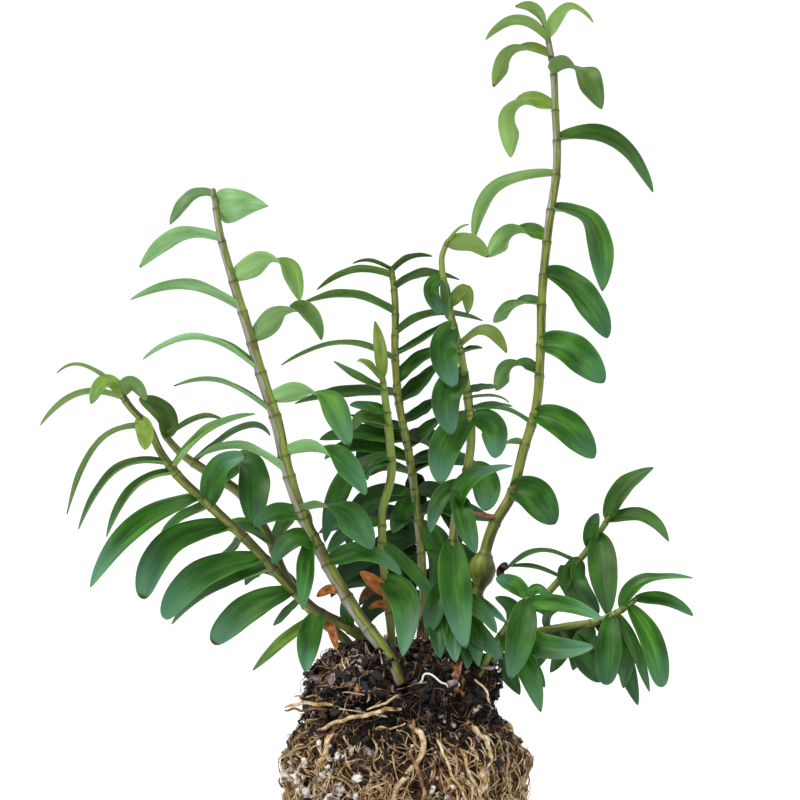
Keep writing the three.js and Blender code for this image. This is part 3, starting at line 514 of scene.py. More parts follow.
def cane_leaves(name, stem, leaves, lean, seed, youth, pallor_and_backlight, painted_sheen, dim=0.0, replaced=None):
    """All the leaves of one cane, each a blade from the cane's middle through its crest to its tip.

    `youth` gives the heights between which the green turns from grown to fresh, unless a leaf's row ends
    with a youth of its own. `pallor_and_backlight` is how pale the undersides are, partly their own colour
    and partly painted backlight, `painted_sheen` how much painted bluish sheen lies on the outer half of a
    grown leaf, and
    `dim` how much painted shade darkens leaves that stand in the shade of others.
    """
    draw = np.random.default_rng(seed)
    curve, _, _ = cane_curve(stem, lean)
    blades, traits = [], []
    for height, crest, tip, width, turn_base, turn_tip, outline, *own in leaves:
        base = [np.interp(height, curve[:, 2], curve[:, axis]) for axis in range(3)]
        crest, tip = ((x, y + lean * max(z - CROWN_HEIGHT, 0), z) for x, y, z in (crest, tip))
        blade, share = leaf_surface(base, crest, tip, width, turn_base, turn_tip, outline, draw)
        blades.append(blade)
        fresh = own[0] if own else float(np.interp(height, youth, (0, 1)))
        # the tone is random, less the painted shade of dim; the painted sheen is left off young leaves
        traits.append((fresh, pallor_and_backlight, painted_sheen * (1 - fresh), draw.random() - dim))
    faces, places = many_grids(len(leaves), LEAF_ROWS, LEAF_SIDES)
    for grid in places:
        grid[..., 1] = share[grid[..., 1].astype(int)]
    traits = np.repeat(traits, LEAF_ROWS * LEAF_SIDES + 2, axis=0)
    return make_piece(
        name + "_leaves", np.concatenate(blades), faces, places, orchid_leaf, replaced,
        dict(zip(("youth", "pallor_and_backlight", "painted_sheen", "tone"), traits.T)),
    )


def leafy_cane(
    name, stem, leaves, lean, seed, papery, weather, stem_youth, leaf_youth, pallor_and_backlight, painted_sheen, dim=0.0,
):
    """A cane's stem and its leaves, which together stand for its solid."""
    cane_stem(name, stem, leaves, lean, papery, weather, stem_youth)
    cane_leaves(name, stem, leaves, lean, seed, leaf_youth, pallor_and_backlight, painted_sheen, dim, name)


# stem: x, y, z and radius from the foot up
# leaves: height of the joint, crest that the midrib passes halfway, tip, width, the way the upper side
# faces at base and tip (0 to the front, 90 up, 180 back), outline, and with some a youth of their own
tall_stem = [
    (24, 10, 72.5, 2.2), (29, 11, 99.5, 2.2), (32, 12, 112.5, 2.4), (32.5, 12, 114, 3.5),
    (33, 12, 116, 5.2), (33, 12, 119.5, 6.2), (33.5, 12, 122.6, 5.2), (34, 12, 124.6, 3.5),
    (34.5, 12, 127, 2.6), (37.5, 13, 136.5, 2.45), (45, 14, 149.5, 2.3), (50, 15, 167.5, 2.1),
    (55, 16, 184, 2), (57, 17, 205.5, 1.95),
    (58, 18, 233, 1.9), (61, 19, 261.5, 1.85), (64, 19, 282, 1.8), (63.5, 18, 305.5, 1.6),
    (62.5, 18, 325, 1.5), (60.5, 18, 336.5, 1.1),
]
tall_leaves = [
    (335.5, (55, 13, 347), (47, 10, 348.5), 6, 100, 150, "small"),
    (334.5, (48, 15, 342.5), (35, 13, 335), 9, 110, 125, "lance"),
    (335.5, (69, 15, 348), (79, 12, 342), 9, 140, 105, "small"),
    (328, (48, 16, 330.5), (38, 11, 315.5), 10.5, 50, 152, "lance", 0.75),
    (321, (71.5, 8, 322.5), (82, 6, 306), 14.5, 112, 12, "lance", 0.3),
    (306.5, (48.5, 15, 307.5), (45, 9, 286.5), 12.5, 42, 165, "lance", 0.6),
    (294, (85.5, 17, 293), (103, 14, 272.5), 12.5, 55, 50, "lance", 0.12),
    (280, (40, 20, 273), (30, 22, 252.5), 10.5, 100, 140, "lance"),
    (265.5, (78.5, 15, 258.5), (82, 11, 232), 14, 62, 12, "lance", 0.05),
    (252.5, (47.5, 18, 256), (35.5, 15, 246), 12.5, 42, 160, "lance"),
    (239, (72.5, 14, 231.5), (84, 10, 213), 15, 40, 15, "oval"),
    (226.5, (49, 18, 227), (38, 15, 219.5), 9.5, 58, 150, "small"),
    (210.5, (69, 13, 208), (82.5, 9, 195), 15, 30, 10, "oval"),
    (198, (46.5, 18, 202), (39, 14, 192), 10, 48, 160, "small"),
    (182, (67, 12, 176.5), (78.5, 9, 164.5), 15, 25, 8, "oval"),
    (178, (42.5, 20, 184), (28.5, 21, 184), 6.5, 92, 90, "small"),
    (170, (43.5, 16, 170.5), (35.5, 14, 167.5), 7.5, 115, 60, "small"),
    (151.5, (53.5, 10, 149), (62.5, 8, 138), 16, 15, 0, "oval"),
]
leafy_cane(
    "cane_tall", tall_stem, tall_leaves, lean=0.1, seed=1,
    papery=(0.0, 0.85), weather=(0.75, 0.2), stem_youth=(300, 560),
    leaf_youth=(240, 375), pallor_and_backlight=0.4, painted_sheen=0.35,
)


# ---- Left cane ------------------------------------------------------------------------------------------
# An older cane that leans to the left. Its lower leaf sheaths have dried to silvery paper down its left
# side, and its upper leaves hang over so far that their pale undersides show.
left_stem = [
    (0.5, -24.5, 76, 2.4), (-3.5, -22, 85, 2.7), (-8.5, -18.5, 92, 2.75), (-13.5, -15.5, 98.5, 2.75),
    (-22.5, -14, 112, 2.7), (-31, -13, 127, 2.6), (-39, -12, 143, 2.55), (-45, -12, 162, 2.55),
    (-49, -12, 180, 2.5),
    (-53, -12, 192, 2.4), (-60, -13, 216, 2.1), (-65.5, -13, 234, 1.9), (-70.5, -14, 252, 1.6),
    (-73.5, -14, 271, 1.1),
]
left_leaves = [
    (268, (-81, -12, 267.5), (-90.5, -14, 257), 9.5, 112, 135, "lance"),
    (263.5, (-61.5, -15, 265), (-51.5, -18, 264), 16, 178, 165, "wedge"),
    (250.5, (-86.5, -13, 251.7), (-102.5, -16, 240), 11, 108, 128, "lance"),
    (235, (-49, -14, 242.5), (-39.5, -17, 227), 12, 160, 35, "small", 0.45),
    (223, (-84, -12, 231.7), (-106.5, -12, 227.5), 11, 106, 112, "lance"),
    (211, (-41, -14, 223), (-31, -17, 211.5), 12, 160, 35, "small", 0.4),
    (199, (-79, -13, 212.2), (-101.5, -14, 204), 10.5, 84, 106, "lance"),
    (182, (-70, -12, 194.7), (-89.5, -12, 193.5), 9.5, 86, 96, "lance"),
    (187, (-32, -14, 189.7), (-20, -18, 169.5), 13, 140, 15, "small", 0.1),
    (158, (-62, -12, 168.7), (-81, -14, 165), 10, 100, 108, "lance"),
    (166, (-27.5, -16, 166.2), (-13.5, -19, 150.5), 13.5, 120, 25, "small"),
    (141, (-49, -16, 142.2), (-58, -18, 138), 10, 40, 30, "small"),
    (144, (-23, -17, 144.2), (-11, -20, 129), 15, 100, 15, "small"),
    (130, (-42, -18, 133.2), (-50.5, -20, 123.5), 10.5, 40, 30, "small"),
    (134, (-37, -19, 121.2), (-38.5, -20, 105), 9, 30, 5, "lance"),
    (123, (-14, -18, 126.7), (1, -21, 118.5), 11.5, 45, 55, "lance"),
]
leafy_cane(
    "cane_left", left_stem, left_leaves, lean=-0.09, seed=2,
    papery=(0.56, 0.62), weather=(0.45, 0.25), stem_youth=(60, 700),
    leaf_youth=(255, 330), pallor_and_backlight=0.95, painted_sheen=0.5,
)


# ---- Low front cane -------------------------------------------------------------------------------------
# A strong cane that has sunk to the far left under its own weight. Its big leaves hang in a row like the
# teeth of a comb.
low_front_stem = [
    (-6, -5, 73, 2.1), (-11, -5, 89, 2.2), (-20, -6, 97, 2.3), (-33, -9, 104, 2.3),
    (-46.5, -12, 117, 2.2), (-59, -14, 131, 2.1), (-74, -16, 145.5, 2), (-88.5, -18, 159.5, 1.9),
    (-95, -18, 169, 1.7), (-98, -18, 176, 1.6), (-106.5, -18, 186, 1.5), (-111.5, -18, 194, 1.1),
]
low_front_leaves = [
    (193, (-125, -19, 201.5), (-134.5, -20, 198.5), 5.5, 95, 92, "lance"),
    (191, (-115.5, -21, 194.5), (-121, -22, 186.5), 7, 30, 20, "small", 0.45),
    (188, (-125.5, -17, 190), (-141.5, -17, 178), 9, 95, 102, "lance"),
    (189, (-105.5, -20, 194), (-99.5, -21, 187.5), 8, 150, 130, "small", 0.3),
    (181, (-100.2, -22, 175), (-100, -23, 168.5), 7.5, 0, 0, "small", 1.1),
    (177, (-117.5, -20, 171.5), (-131, -22, 143), 9, 84, 74, "lance"),
    (162.5, (-111, -20, 160), (-126.5, -23, 137), 9.5, 72, 62, "lance"),
    (159, (-103.5, -20, 153.5), (-115.5, -23, 134), 9.5, 72, 62, "lance"),
    (160.5, (-75.5, -15, 175.5), (-57, -8, 182.5), 9.5, 74, 66, "lance"),
    (149, (-104.5, -20, 138), (-122, -24, 114), 13, 50, 35, "lance"),
    (147, (-71, -20, 161), (-60.5, -20, 166), 11, 0, 30, "oval"),
    (146, (-87.5, -9, 139.6), (-96, -6, 131), 9, 60, 60, "small"),
    (138, (-90, -19, 130), (-101.5, -23, 109.5), 14, 40, 25, "tongue"),
    (134, (-67, -8, 128.6), (-71, -6, 127), 6.5, 60, 60, "small"),
    (125, (-78, -18, 118), (-93, -22, 101.5), 14, 40, 25, "tongue"),
    (121, (-74, -7, 112.5), (-91, -5, 98.5), 9, 55, 55, "small"),
    (112, (-60, -16, 105), (-74, -20, 91.5), 13, 35, 20, "tongue"),
    (109, (-46.5, -5, 101.6), (-50.5, -4, 98), 6.5, 60, 50, "small"),
    (103, (-46.5, -11, 91.5), (-58.5, -13, 80.5), 6.5, 45, 30, "lance", 0.5),
    (103.5, (-36, -14, 93), (-37.5, -16, 80), 11, 15, 0, "lance"),
    (97, (-21.5, -8, 103), (-23, -8, 108), 5.5, 10, 10, "small"),
]
leafy_cane(
    "cane_low_front", low_front_stem, low_front_leaves, lean=-0.16, seed=3,
    papery=(0.0, 0.3), weather=(0.85, 0.6), stem_youth=(150, 300),
    leaf_youth=(150, 215), pallor_and_backlight=0.4, painted_sheen=0.7,
)


# ---- Low back cane --------------------------------------------------------------------------------------
# A shorter, darker cane behind the low front one. Its broad leaves stand in the shade of the others, and
# painted shade makes them a deeper green.
low_back_stem = [
    (-13, 3, 73, 2), (-20, 5, 89.5, 2), (-33, 7, 100.5, 2.1), (-46.5, 8, 117.5, 2.1),
    (-54.5, 9, 135.5, 2.1), (-65, 9, 150.5, 2.1), (-79, 9, 159.5, 2), (-89, 9, 166.5, 1.8),
    (-96.5, 8, 175, 1.3),
]
low_back_leaves = [
    (173.5, (-96, 3, 181.5), (-105.5, -3, 188.5), 11.5, 20, 20, "oval", 0.3),
    (173, (-81, 7, 180.5), (-71, 6, 179.5), 7.5, 92, 92, "small"),
    (162.5, (-63, 8, 176.5), (-52.5, 6, 173.5), 9.5, 75, 60, "lance"),
    (154.5, (-61, 4, 161), (-59, -2, 137), 15, 50, 5, "oval"),
    (111.5, (-54.5, 14, 119.5), (-62.5, 16, 113), 10, 50, 40, "small"),
    (127.5, (-63, 13, 137), (-75, 15, 133.5), 10, 60, 50, "small"),
    (127.5, (-42.5, 13, 141.5), (-36.5, 15, 133.5), 10, 120, 150, "small"),
]
leafy_cane(
    "cane_low_back", low_back_stem, low_back_leaves, lean=0.2, seed=4,
    papery=(0.2, 0.45), weather=(0.85, 0.6), stem_youth=(140, 260),
    leaf_youth=(165, 230), pallor_and_backlight=0.3, painted_sheen=0.25, dim=0.4,
)


# ---- Centre cane ----------------------------------------------------------------------------------------
# A straight old cane in the middle, thickly leaved, its sheaths dry from the foot up; painted shade makes
# its leaves dark. It grows from the middle of the rhizome, and the canes round it hold it upright.
centre_stem = [
    (10, 4, 72.5, 1.7), (10, 6, 94.5, 1.8), (9, 7, 119.5, 1.8), (6, 7, 150, 1.75), (3, 7, 170, 1.7),
    (0, 7, 184, 1.7), (-2, 8, 205, 1.6), (-2, 8, 228.5, 1.5), (-3.5, 8, 241.5, 1.1),
]
centre_leaves = [
    (240.5, (-12, 4, 243.8), (-19, 2, 243), 4.5, 98, 98, "small"),
    (237.5, (-18, 8, 239.5), (-33.5, 7, 232.5), 9.5, 105, 108, "lance"),
    (239.5, (4, 8, 245), (13, 7, 246), 6.5, 110, 105, "small"),
    (232.5, (9, 7, 238.5), (24, 6, 236.5), 9.5, 110, 105, "lance"),
    (222.5, (-20, 8, 230), (-40.5, 7, 226.5), 10.5, 110, 108, "lance"),
    (214, (13, 9, 222.5), (33.5, 9, 220), 10, 110, 105, "lance"),
    (204, (-24, 8, 210.5), (-48, 7, 202), 10.5, 105, 105, "lance"),
    (206, (9, 11, 212), (20, 12, 220), 7.5, 70, 70, "small"),
    (194, (7, 11, 203), (17, 12, 209), 9, 50, 50, "small"),
    (187, (8, 11, 193.5), (16, 12, 203), 9.5, 45, 45, "small"),
    (190, (-22, 11, 190.5), (-42.5, 11, 186.5), 11, 58, 62, "lance"),
    (179, (8, 11, 182), (16, 11, 189), 9, 60, 60, "small"),
    (168, (9, 11, 174), (17, 10, 181), 9, 45, 45, "small"),
    (176, (-12, 13, 178.5), (-20, 14, 182), 7.5, 60, 60, "small"),
    (171, (-16, 13, 174), (-32.5, 14, 172), 10, 50, 50, "small"),
    (163, (-17, 12, 168.5), (-30.5, 13, 164), 10, 45, 40, "small"),
    (158, (13, 11, 163.5), (21, 10, 160), 10, 60, 40, "small"),
    (152, (1, 9, 142), (-3, 8, 134.5), 10, 30, 20, "small"),
    (139.5, (14, 9, 126), (13, 8, 109.5), 9, 30, 20, "small"),
]
leafy_cane(
    "cane_centre", centre_stem, centre_leaves, lean=0.06, seed=5,
    papery=(0.45, 0.35), weather=(0.5, 0.35), stem_youth=(200, 330),
    leaf_youth=(230, 330), pallor_and_backlight=0.1, painted_sheen=0.15, dim=0.5,
)


# ---- Centre left cane -----------------------------------------------------------------------------------
# A young cane that still stretches, with one upright yellow-green leaf at its top. Its rind is soft, and
# it stands close beside the centre cane.
centre_left_stem = [
    (-2, 4, 72.5, 1.7), (-4, 1, 100, 1.8), (-7, -2, 130, 1.8), (-7, -2, 143, 1.8), (-3.5, -1, 158, 1.8),
    (-4, -1, 172, 1.8), (-5.5, -1, 185, 1.7), (-7, -1, 197, 1.2),
]
centre_left_leaves = [
    (197, (-8.5, -3, 210), (-10, -5, 219.5), 6, 15, 15, "lance", 1.0),
    (192, (-18, -1, 197.5), (-26.5, -2, 203.5), 6.5, 60, 60, "small", 0.1),
    (195, (-13.5, -4, 202), (-17, -5, 203.5), 6.5, 100, 60, "small", 0.9),
    (183, (-13, -5, 185), (-20, -7, 186), 7.5, 50, 50, "small"),
    (178, (-14, -4, 181.5), (-18.5, -5, 176), 7.5, 50, 30, "small", 0.3),
    (165, (-22, -2, 156.5), (-30, -4, 131), 10, 50, 15, "lance", 0.0),
    (164, (-11, -5, 161), (-13, -6, 156), 5.5, 40, 40, "small"),
    (138, (-18, -3, 136.5), (-29, -4, 127), 9, 50, 40, "small"),
    (131, (8, -9, 116), (15.5, -10, 103.5), 6.5, 30, 20, "lance"),
    (116, (1.5, -22, 107), (1, -38, 87.5), 13, 15, 0, "lance", 0.0),
]
leafy_cane(
    "cane_centre_left", centre_left_stem, centre_left_leaves, lean=-0.02, seed=6,
    papery=(0.3, 0.1), weather=(0.2, 0.05), stem_youth=(110, 260),
    leaf_youth=(185, 225), pallor_and_backlight=0.2, painted_sheen=0.6, dim=0.2,
)


# ---- Centre right cane ----------------------------------------------------------------------------------
# The cane nearest the front. Its leaves hang down flat before it and catch the light at their tips. Green
# rind under thin sheaths, it comes up through the front of the crown.
centre_right_stem = [
    (17, -10, 73.5, 1.9), (18, -12, 95.5, 2), (20, -13, 120.5, 2), (22, -14, 140.5, 2),
    (26, -14, 157.5, 1.95), (28, -14, 170, 1.9), (27, -15, 187, 1.85), (24, -16, 205, 1.7),
    (20, -17, 221.5, 1.6), (17, -18, 236, 1.4), (16.5, -18, 244.5, 1.2), (19, -18, 251, 1),
]
centre_right_leaves = [
    (250, (23, -18, 255), (27, -17, 257), 3.5, 90, 90, "small", 0.9),
    (249, (27.5, -19, 249.5), (34.5, -20, 244), 8, 165, 150, "small", 0.8),
    (235, (17.5, -22, 229), (18.5, -24, 219.5), 5, 10, 0, "lance", 0.15),
    (236, (12.5, -18, 231.5), (16.5, -19, 221.5), 7, 20, 20, "small", 0.0),
    (224.5, (25.5, -18, 231), (26.5, -19, 222), 6.5, 20, 20, "small", 0.8),
    (217.5, (16.5, -21, 207), (22, -23, 193), 12, 10, 0, "small", 0.0),
    (208.5, (33.5, -16, 214.5), (42, -17, 206.5), 8, 70, 40, "small", 0.9),
    (206.5, (28.5, -15, 208), (32.5, -14, 208.5), 4.5, 75, 60, "small"),
    (199, (18.5, -22, 189), (20.5, -24, 174.5), 12.5, 5, 0, "small"),
    (191, (32, -15, 192.5), (38, -15, 193), 7, 60, 60, "small"),
    (189, (37.5, -15, 189.5), (43, -15, 187), 3.5, 90, 90, "small"),
    (184, (35.5, -14, 185.5), (44.5, -13, 185.5), 7.5, 70, 70, "small"),
    (182, (18, -20, 170), (16, -23, 155), 13, 5, 0, "oval"),
    (180, (36, -14, 177.5), (37.5, -14, 165), 12, 12, 5, "oval"),
    (160.5, (33, -11, 156), (34, -10, 144), 12, 15, 10, "oval"),
    (155.5, (15.5, -20, 149), (12, -22, 135.5), 8, 20, 0, "lance"),
    (148.5, (25, -22, 141.5), (30, -24, 127.5), 10.5, 20, 10, "lance"),
    (143.5, (27, -20, 155.5), (44.5, -17, 162), 9.5, 20, 50, "lance"),
    (132.5, (21, -23.5, 113), (26, -30, 90), 13.5, 5, 0, "lance"),
    (115.5, (14, -20, 107), (11.5, -21, 95.5), 10, 10, 0, "small"),
    (112.5, (33.5, -19, 106), (42.5, -22, 99.5), 5.5, 20, 20, "lance"),
    (108.5, (20, -20, 98.5), (22, -31, 84.5), 9.5, 5, 0, "lance"),
    (104.5, (30.5, -20, 94), (40.5, -24, 85.5), 11, 20, 25, "small"),
]
leafy_cane(
    "cane_centre_right", centre_right_stem, centre_right_leaves, lean=-0.09, seed=7,
    papery=(0.3, 0.25), weather=(0.5, 0.35), stem_youth=(170, 300),
    leaf_youth=(205, 275), pallor_and_backlight=0.25, painted_sheen=0.8, dim=0.3,
)


# ---- Upper right cane -----------------------------------------------------------------------------------
# A short cane that reaches out over the rim to the right and back, with a spread of broad leaves at its
# end. It is the same jointed rod as the others, only thinner.
right_upper_stem = [
    (33, 3, 72, 1.6), (40, 7, 87.5, 1.6), (50.5, 10, 99.5, 1.6), (62.5, 11, 113, 1.55),
    (76, 12, 127, 1.5), (85, 13, 140, 1.2),
]
right_upper_leaves = [
    (139, (91.5, 12, 151.5), (103.5, 11, 160.5), 9.5, 30, 40, "lance"),
    (138, (98.5, 12, 140.5), (109, 11, 130.5), 9, 55, 50, "lance"),
    (128, (78, 9, 136.5), (80.5, 8, 142), 7, 10, 10, "small"),
    (133, (82.5, 6, 120.5), (83.5, 3, 101), 13, 5, 0, "lance"),
    (123, (70.5, 8, 113.5), (80, 6, 102), 11.5, 20, 10, "oval"),
    (118, (67, 8, 118.5), (66.5, 7, 110.5), 7.5, 20, 10, "small"),
    (122, (57, 12, 126.5), (42.5, 11, 119), 6.5, 88, 70, "small"),
    (116, (54.5, 13, 120), (43.5, 12, 120.5), 5.5, 88, 75, "small"),
]
leafy_cane(
    "cane_right_upper", right_upper_stem, right_upper_leaves, lean=0.35, seed=8,
    papery=(0.1, 0.1), weather=(0.65, 0.5), stem_youth=(100, 200),
    leaf_youth=(130, 240), pallor_and_backlight=0.2, painted_sheen=0.25, dim=0.1,
)


# ---- Lower right cane -----------------------------------------------------------------------------------
# A cane that lies almost level over the rim, weighed down by the bunch of hanging leaves at its end. Its
# foot is held in the right side of the crown.
right_lower_stem = [
    (32, -8, 72.5, 1.5), (40, -9, 88.5, 1.5), (51.5, -10, 95, 1.5), (65.5, -12, 98, 1.5),
    (79.5, -14, 100.5, 1.5), (87.5, -15, 104.5, 1.4), (93.5, -16, 109, 1.1),
]
right_lower_leaves = [
    (105, (96, -17, 115.5), (116, -18, 117.5), 9, 40, 72, "lance"),
    (108.5, (105, -17, 108.5), (116, -18, 102.5), 7, 40, 40, "small"),
    (106.5, (98.5, -20, 93.5), (103.5, -22, 74.5), 10.5, 25, 10, "tongue"),
    (103.5, (93.5, -8, 86.5), (99.5, -6, 71.5), 6.5, 20, 20, "lance"),
    (102.5, (82, -21, 90), (81.5, -24, 75.5), 11, 5, 0, "tongue"),
    (100.5, (88, -5, 84.5), (95, -3, 66), 10, 20, 10, "lance"),
    (99.5, (72.5, -7, 88.5), (80, -5, 75.5), 11, 20, 10, "oval"),
]
leafy_cane(
    "cane_right_lower", right_lower_stem, right_lower_leaves, lean=0.0, seed=9,
    papery=(0.1, 0.1), weather=(0.65, 0.5), stem_youth=(80, 180),
    leaf_youth=(120, 240), pallor_and_backlight=0.2, painted_sheen=0.4, dim=0.3,
)


# ---- Front right shoot ----------------------------------------------------------------------------------
# A short young growth at the front of the ball, all leaf: its stem is hidden in the feet of its leaves.
# It is green all over, because no sheath on it has dried yet.
shoot_stem = [
    (29, -15, 73, 1.5), (37.5, -16, 91, 1.5), (46.5, -19, 104, 1.5), (50.5, -20, 110, 1.1),
]
shoot_leaves = [
    (109, (44.5, -18, 114), (38, -16, 117.5), 9.5, 30, 20, "small"),
    (109.5, (54.5, -18, 112.5), (58.5, -17, 109.5), 5.5, 30, 30, "small"),
    (108, (65.5, -21, 106.5), (80, -25, 101.5), 7.5, 30, 30, "lance"),
    (108.5, (47.5, -27, 93.5), (43, -31, 78), 12.5, 0, 0, "lance"),
    (99, (57.5, -24, 90), (77, -28, 91), 11.5, 20, 25, "lance"),
    (95, (49.5, -24, 81.5), (55.5, -27, 65), 10, 15, 5, "lance"),
]
leafy_cane(
    "shoot_front_right", shoot_stem, shoot_leaves, lean=0.0, seed=10,
    papery=(0.0, 0.0), weather=(0.45, 0.3), stem_youth=(60, 120),
    leaf_youth=(110, 200), pallor_and_backlight=0.3, painted_sheen=0.6,
)


# ---- Inner leaves ---------------------------------------------------------------------------------------
# Old leaves on the shaded side of the middle canes, which close the clump behind the others; painted
# shade makes them dark. They are the same leathery blades, and each clasps its cane with its foot.
inner_leaves = [
    (176, (-10, 15, 173), (-17, 17, 157), 10, 40, 20, "lance"),
    (158, (-9, 18, 160), (-25, 20, 155), 10, 70, 30, "small"),
    (149, (-13, 15, 146), (-21, 17, 128), 12, 30, 15, "lance"),
    (139, (-13, 20, 141), (-33, 22, 134), 12, 60, 35, "lance"),
    (131, (-7, 16, 128), (-12, 19, 110), 12, 25, 10, "lance"),
    (126, (-14, 18, 124), (-28, 20, 108), 12, 40, 20, "lance"),
    (114, (-10, 20, 117), (-28, 22, 110), 11, 60, 35, "lance"),
    (108, (-8, 18, 106), (-16, 20, 94), 10, 30, 15, "small"),
    (172, (14, 16, 171), (19, 18, 156), 10, 35, 20, "lance"),
    (161, (16, 17, 165), (31, 19, 162), 10, 60, 40, "small"),
    (150, (16, 18, 147), (25, 20, 130), 12, 35, 15, "lance"),
    (141, (19, 19, 144), (38, 21, 139), 11, 60, 35, "lance"),
    (133, (14, 17, 130), (18, 20, 112), 12, 20, 10, "lance"),
    (127, (21, 20, 127), (37, 22, 115), 12, 45, 25, "lance"),
    (113, (18, 20, 115), (34, 22, 108), 11, 55, 30, "lance"),
    (107, (15, 18, 104), (21, 20, 92), 10, 25, 15, "small"),
    (126, (4, 19, 119), (1, 22, 100), 12, 20, 5, "lance"),
    (144, (4, 18, 137), (2, 21, 119), 12, 25, 10, "lance"),
    (160, (5, 17, 152), (8, 19, 136), 11, 25, 10, "lance"),
    (101, (9, 20, 106), (10, 22, 94), 11, 30, 10, "lance"),
]
cane_leaves(
    "inner", centre_stem, inner_leaves, lean=0.06, seed=11,
    youth=(300, 400), pallor_and_backlight=0.0, painted_sheen=0.4, dim=0.8,
)


# ---- Foot leaves ----------------------------------------------------------------------------------------
# A few narrow leaves low on the cane nearest the front, which hang over the edge of the crown and hide
# where the canes come out of it.
foot_leaves = [
    (106, (15, -18, 101), (16, -27, 86), 9.5, 10, 0, "lance"),
    (103, (26.5, -18, 98), (31, -27, 83), 8.5, 15, 5, "lance"),
    (111, (30, -22, 107), (38, -24, 96), 8, 20, 15, "small"),
    (100, (25, -16, 95), (26.5, -26.5, 82), 8, 5, 0, "lance"),
]
cane_leaves(
    "foot", centre_right_stem, foot_leaves, lean=-0.09, seed=13,
    youth=(300, 400), pallor_and_backlight=0.2, painted_sheen=0.5, dim=0.1,
)


# ---- Under leaves ---------------------------------------------------------------------------------------
# Leaves on the shaded side of the two canes at the right, which fill the corner between the canes and the
# root ball.
under_leaves = [
    (94, (56, -3, 91), (53, -1, 80), 9, 25, 10, "small"),
    (96.5, (64, -3, 90), (60, -1, 79), 9, 25, 10, "lance"),
    (97, (61, -5, 103), (70, -4, 107), 6.5, 60, 40, "small"),
    (90, (45, -2, 103), (38, 0, 109), 8, 25, 15, "small"),
    (93, (52, -2, 105), (60, 0, 101), 8, 35, 20, "small"),
    (97.5, (70, -6, 92), (69, -4, 80), 9, 20, 10, "lance"),
    (98.5, (76, -7, 90), (84, -5, 76), 8, 25, 15, "lance"),
    (99.5, (84, -8, 92), (91, -6, 80), 8, 30, 15, "lance"),
    (102, (89, -8, 92), (89, -6, 73), 9, 20, 10, "lance"),
    (88, (42, -2, 82), (48, 0, 70), 9, 25, 10, "lance"),
    (91, (50, -2, 84), (58, 0, 73), 9, 30, 15, "lance"),
]
cane_leaves(
    "under", right_lower_stem, under_leaves, lean=0.0, seed=14,
    youth=(300, 400), pallor_and_backlight=0.1, painted_sheen=0.3, dim=0.7,
)


# ---- Dry leaves -----------------------------------------------------------------------------------------
# Dead leaves and sheaths that still hang on between the canes, each by its foot. They are brittle fibre,
# and they shrank and curled as they dried.
CURL = 0.35  # how far a dry leaf curls to and fro, as a share of its width
CURL_WAVES = 2.5  # how often it does so from foot to tip

# Dead leaf tissue: all the green is gone, and what is left is thin orange to dark brown fibre, matt as
# parchment, that lets a little light through.
dry_leaf, tree, shader = new_finish("dry_leaf_parchment")
place = add_node(tree, "ShaderNodeUVMap", uv_map="UVMap")
tone = add_node(tree, "ShaderNodeAttribute", attribute_name="tone").outputs["Fac"]
# fibres along the blade, about 0.25 mm apart
dry_stretch = add_node(tree, "ShaderNodeVectorMath", {1: (40.0, 5.0, 1.0)}, {0: place}, operation="MULTIPLY")
dry_fibres = add_node(tree, "ShaderNodeTexNoise", {"Scale": 1.0, "Detail": 4.0}, {"Vector": dry_stretch})
orange = add_node(tree, "ShaderNodeValToRGB", links={0: dry_fibres}, stops=[
    (0.30, "#8a4214"), (0.50, "#be6e30"), (0.72, "#dca468"),
])
umber = add_node(tree, "ShaderNodeValToRGB", links={0: dry_fibres}, stops=[
    (0.30, "#21130b"), (0.50, "#46301d"), (0.72, "#74573a"),
])
withered = add_node(tree, "ShaderNodeMix", links={0: tone, 6: umber, 7: orange}, data_type="RGBA")
connect(tree, withered, shader.inputs["Base Color"])
shader.inputs["Roughness"].default_value = 0.7
shader.inputs["Subsurface Weight"].default_value = 0.1
shader.inputs["Subsurface Scale"].default_value = 0.001

DRY_LEAVES = [  # foot, crest, tip, width, facing at foot and tip, tone (1 orange, 0 dark brown)
    ((-5.3, -2, 110), (-10, -6, 115.5), (-16, -7, 119.5), 6, 30, 0, 1.0),
    ((-7, -2, 113), (-12, -2, 112), (-16, -4, 106), 5, 30, 20, 0.15),
    ((-24, -16, 111.5), (-28, -18, 113), (-33, -18, 110), 4.5, 40, 20, 0.8),
    ((-4.5, 1, 104), (-8, -3, 106.5), (-12.5, -4, 104.5), 4, 40, 30, 0.9),
    ((41, 17, 140.8), (35, 17, 141), (28.5, 17, 142.8), 3, 50, 50, 0.3),
    ((43.5, 22, 121), (41.5, 21, 120), (40, 20, 115.5), 4, 40, 20, 0.0),
    ((-29, -10, 100), (-27, -14, 95.5), (-25, -18, 89), 4.5, 20, 10, 0.9),
    ((12, -8, 104), (9, -14, 99), (7, -18, 92), 4, 20, 10, 0.1),
    ((30, 2, 100), (32, -4, 97), (35, -8, 90), 4.5, 30, 10, 0.05),
]
draw = np.random.default_rng(12)
dry_blades = []
for *shape, _ in DRY_LEAVES:
    blade, share = leaf_surface(*shape, "small", draw)
    curl = CURL * shape[3] * np.sin(2 * CURL_WAVES * np.pi * np.repeat(share, LEAF_SIDES))
    blade[:-2, 1] += curl * draw.uniform(0.3, 1.0)
    dry_blades.append(blade)
faces, places = many_grids(len(DRY_LEAVES), LEAF_ROWS, LEAF_SIDES)
make_piece(
    "dry_leaves", np.concatenate(dry_blades), faces, [part / (1, LEAF_ROWS) for part in places],
    dry_leaf, None, {"tone": np.repeat([row[-1] for row in DRY_LEAVES], len(dry_blades[0]))},
)


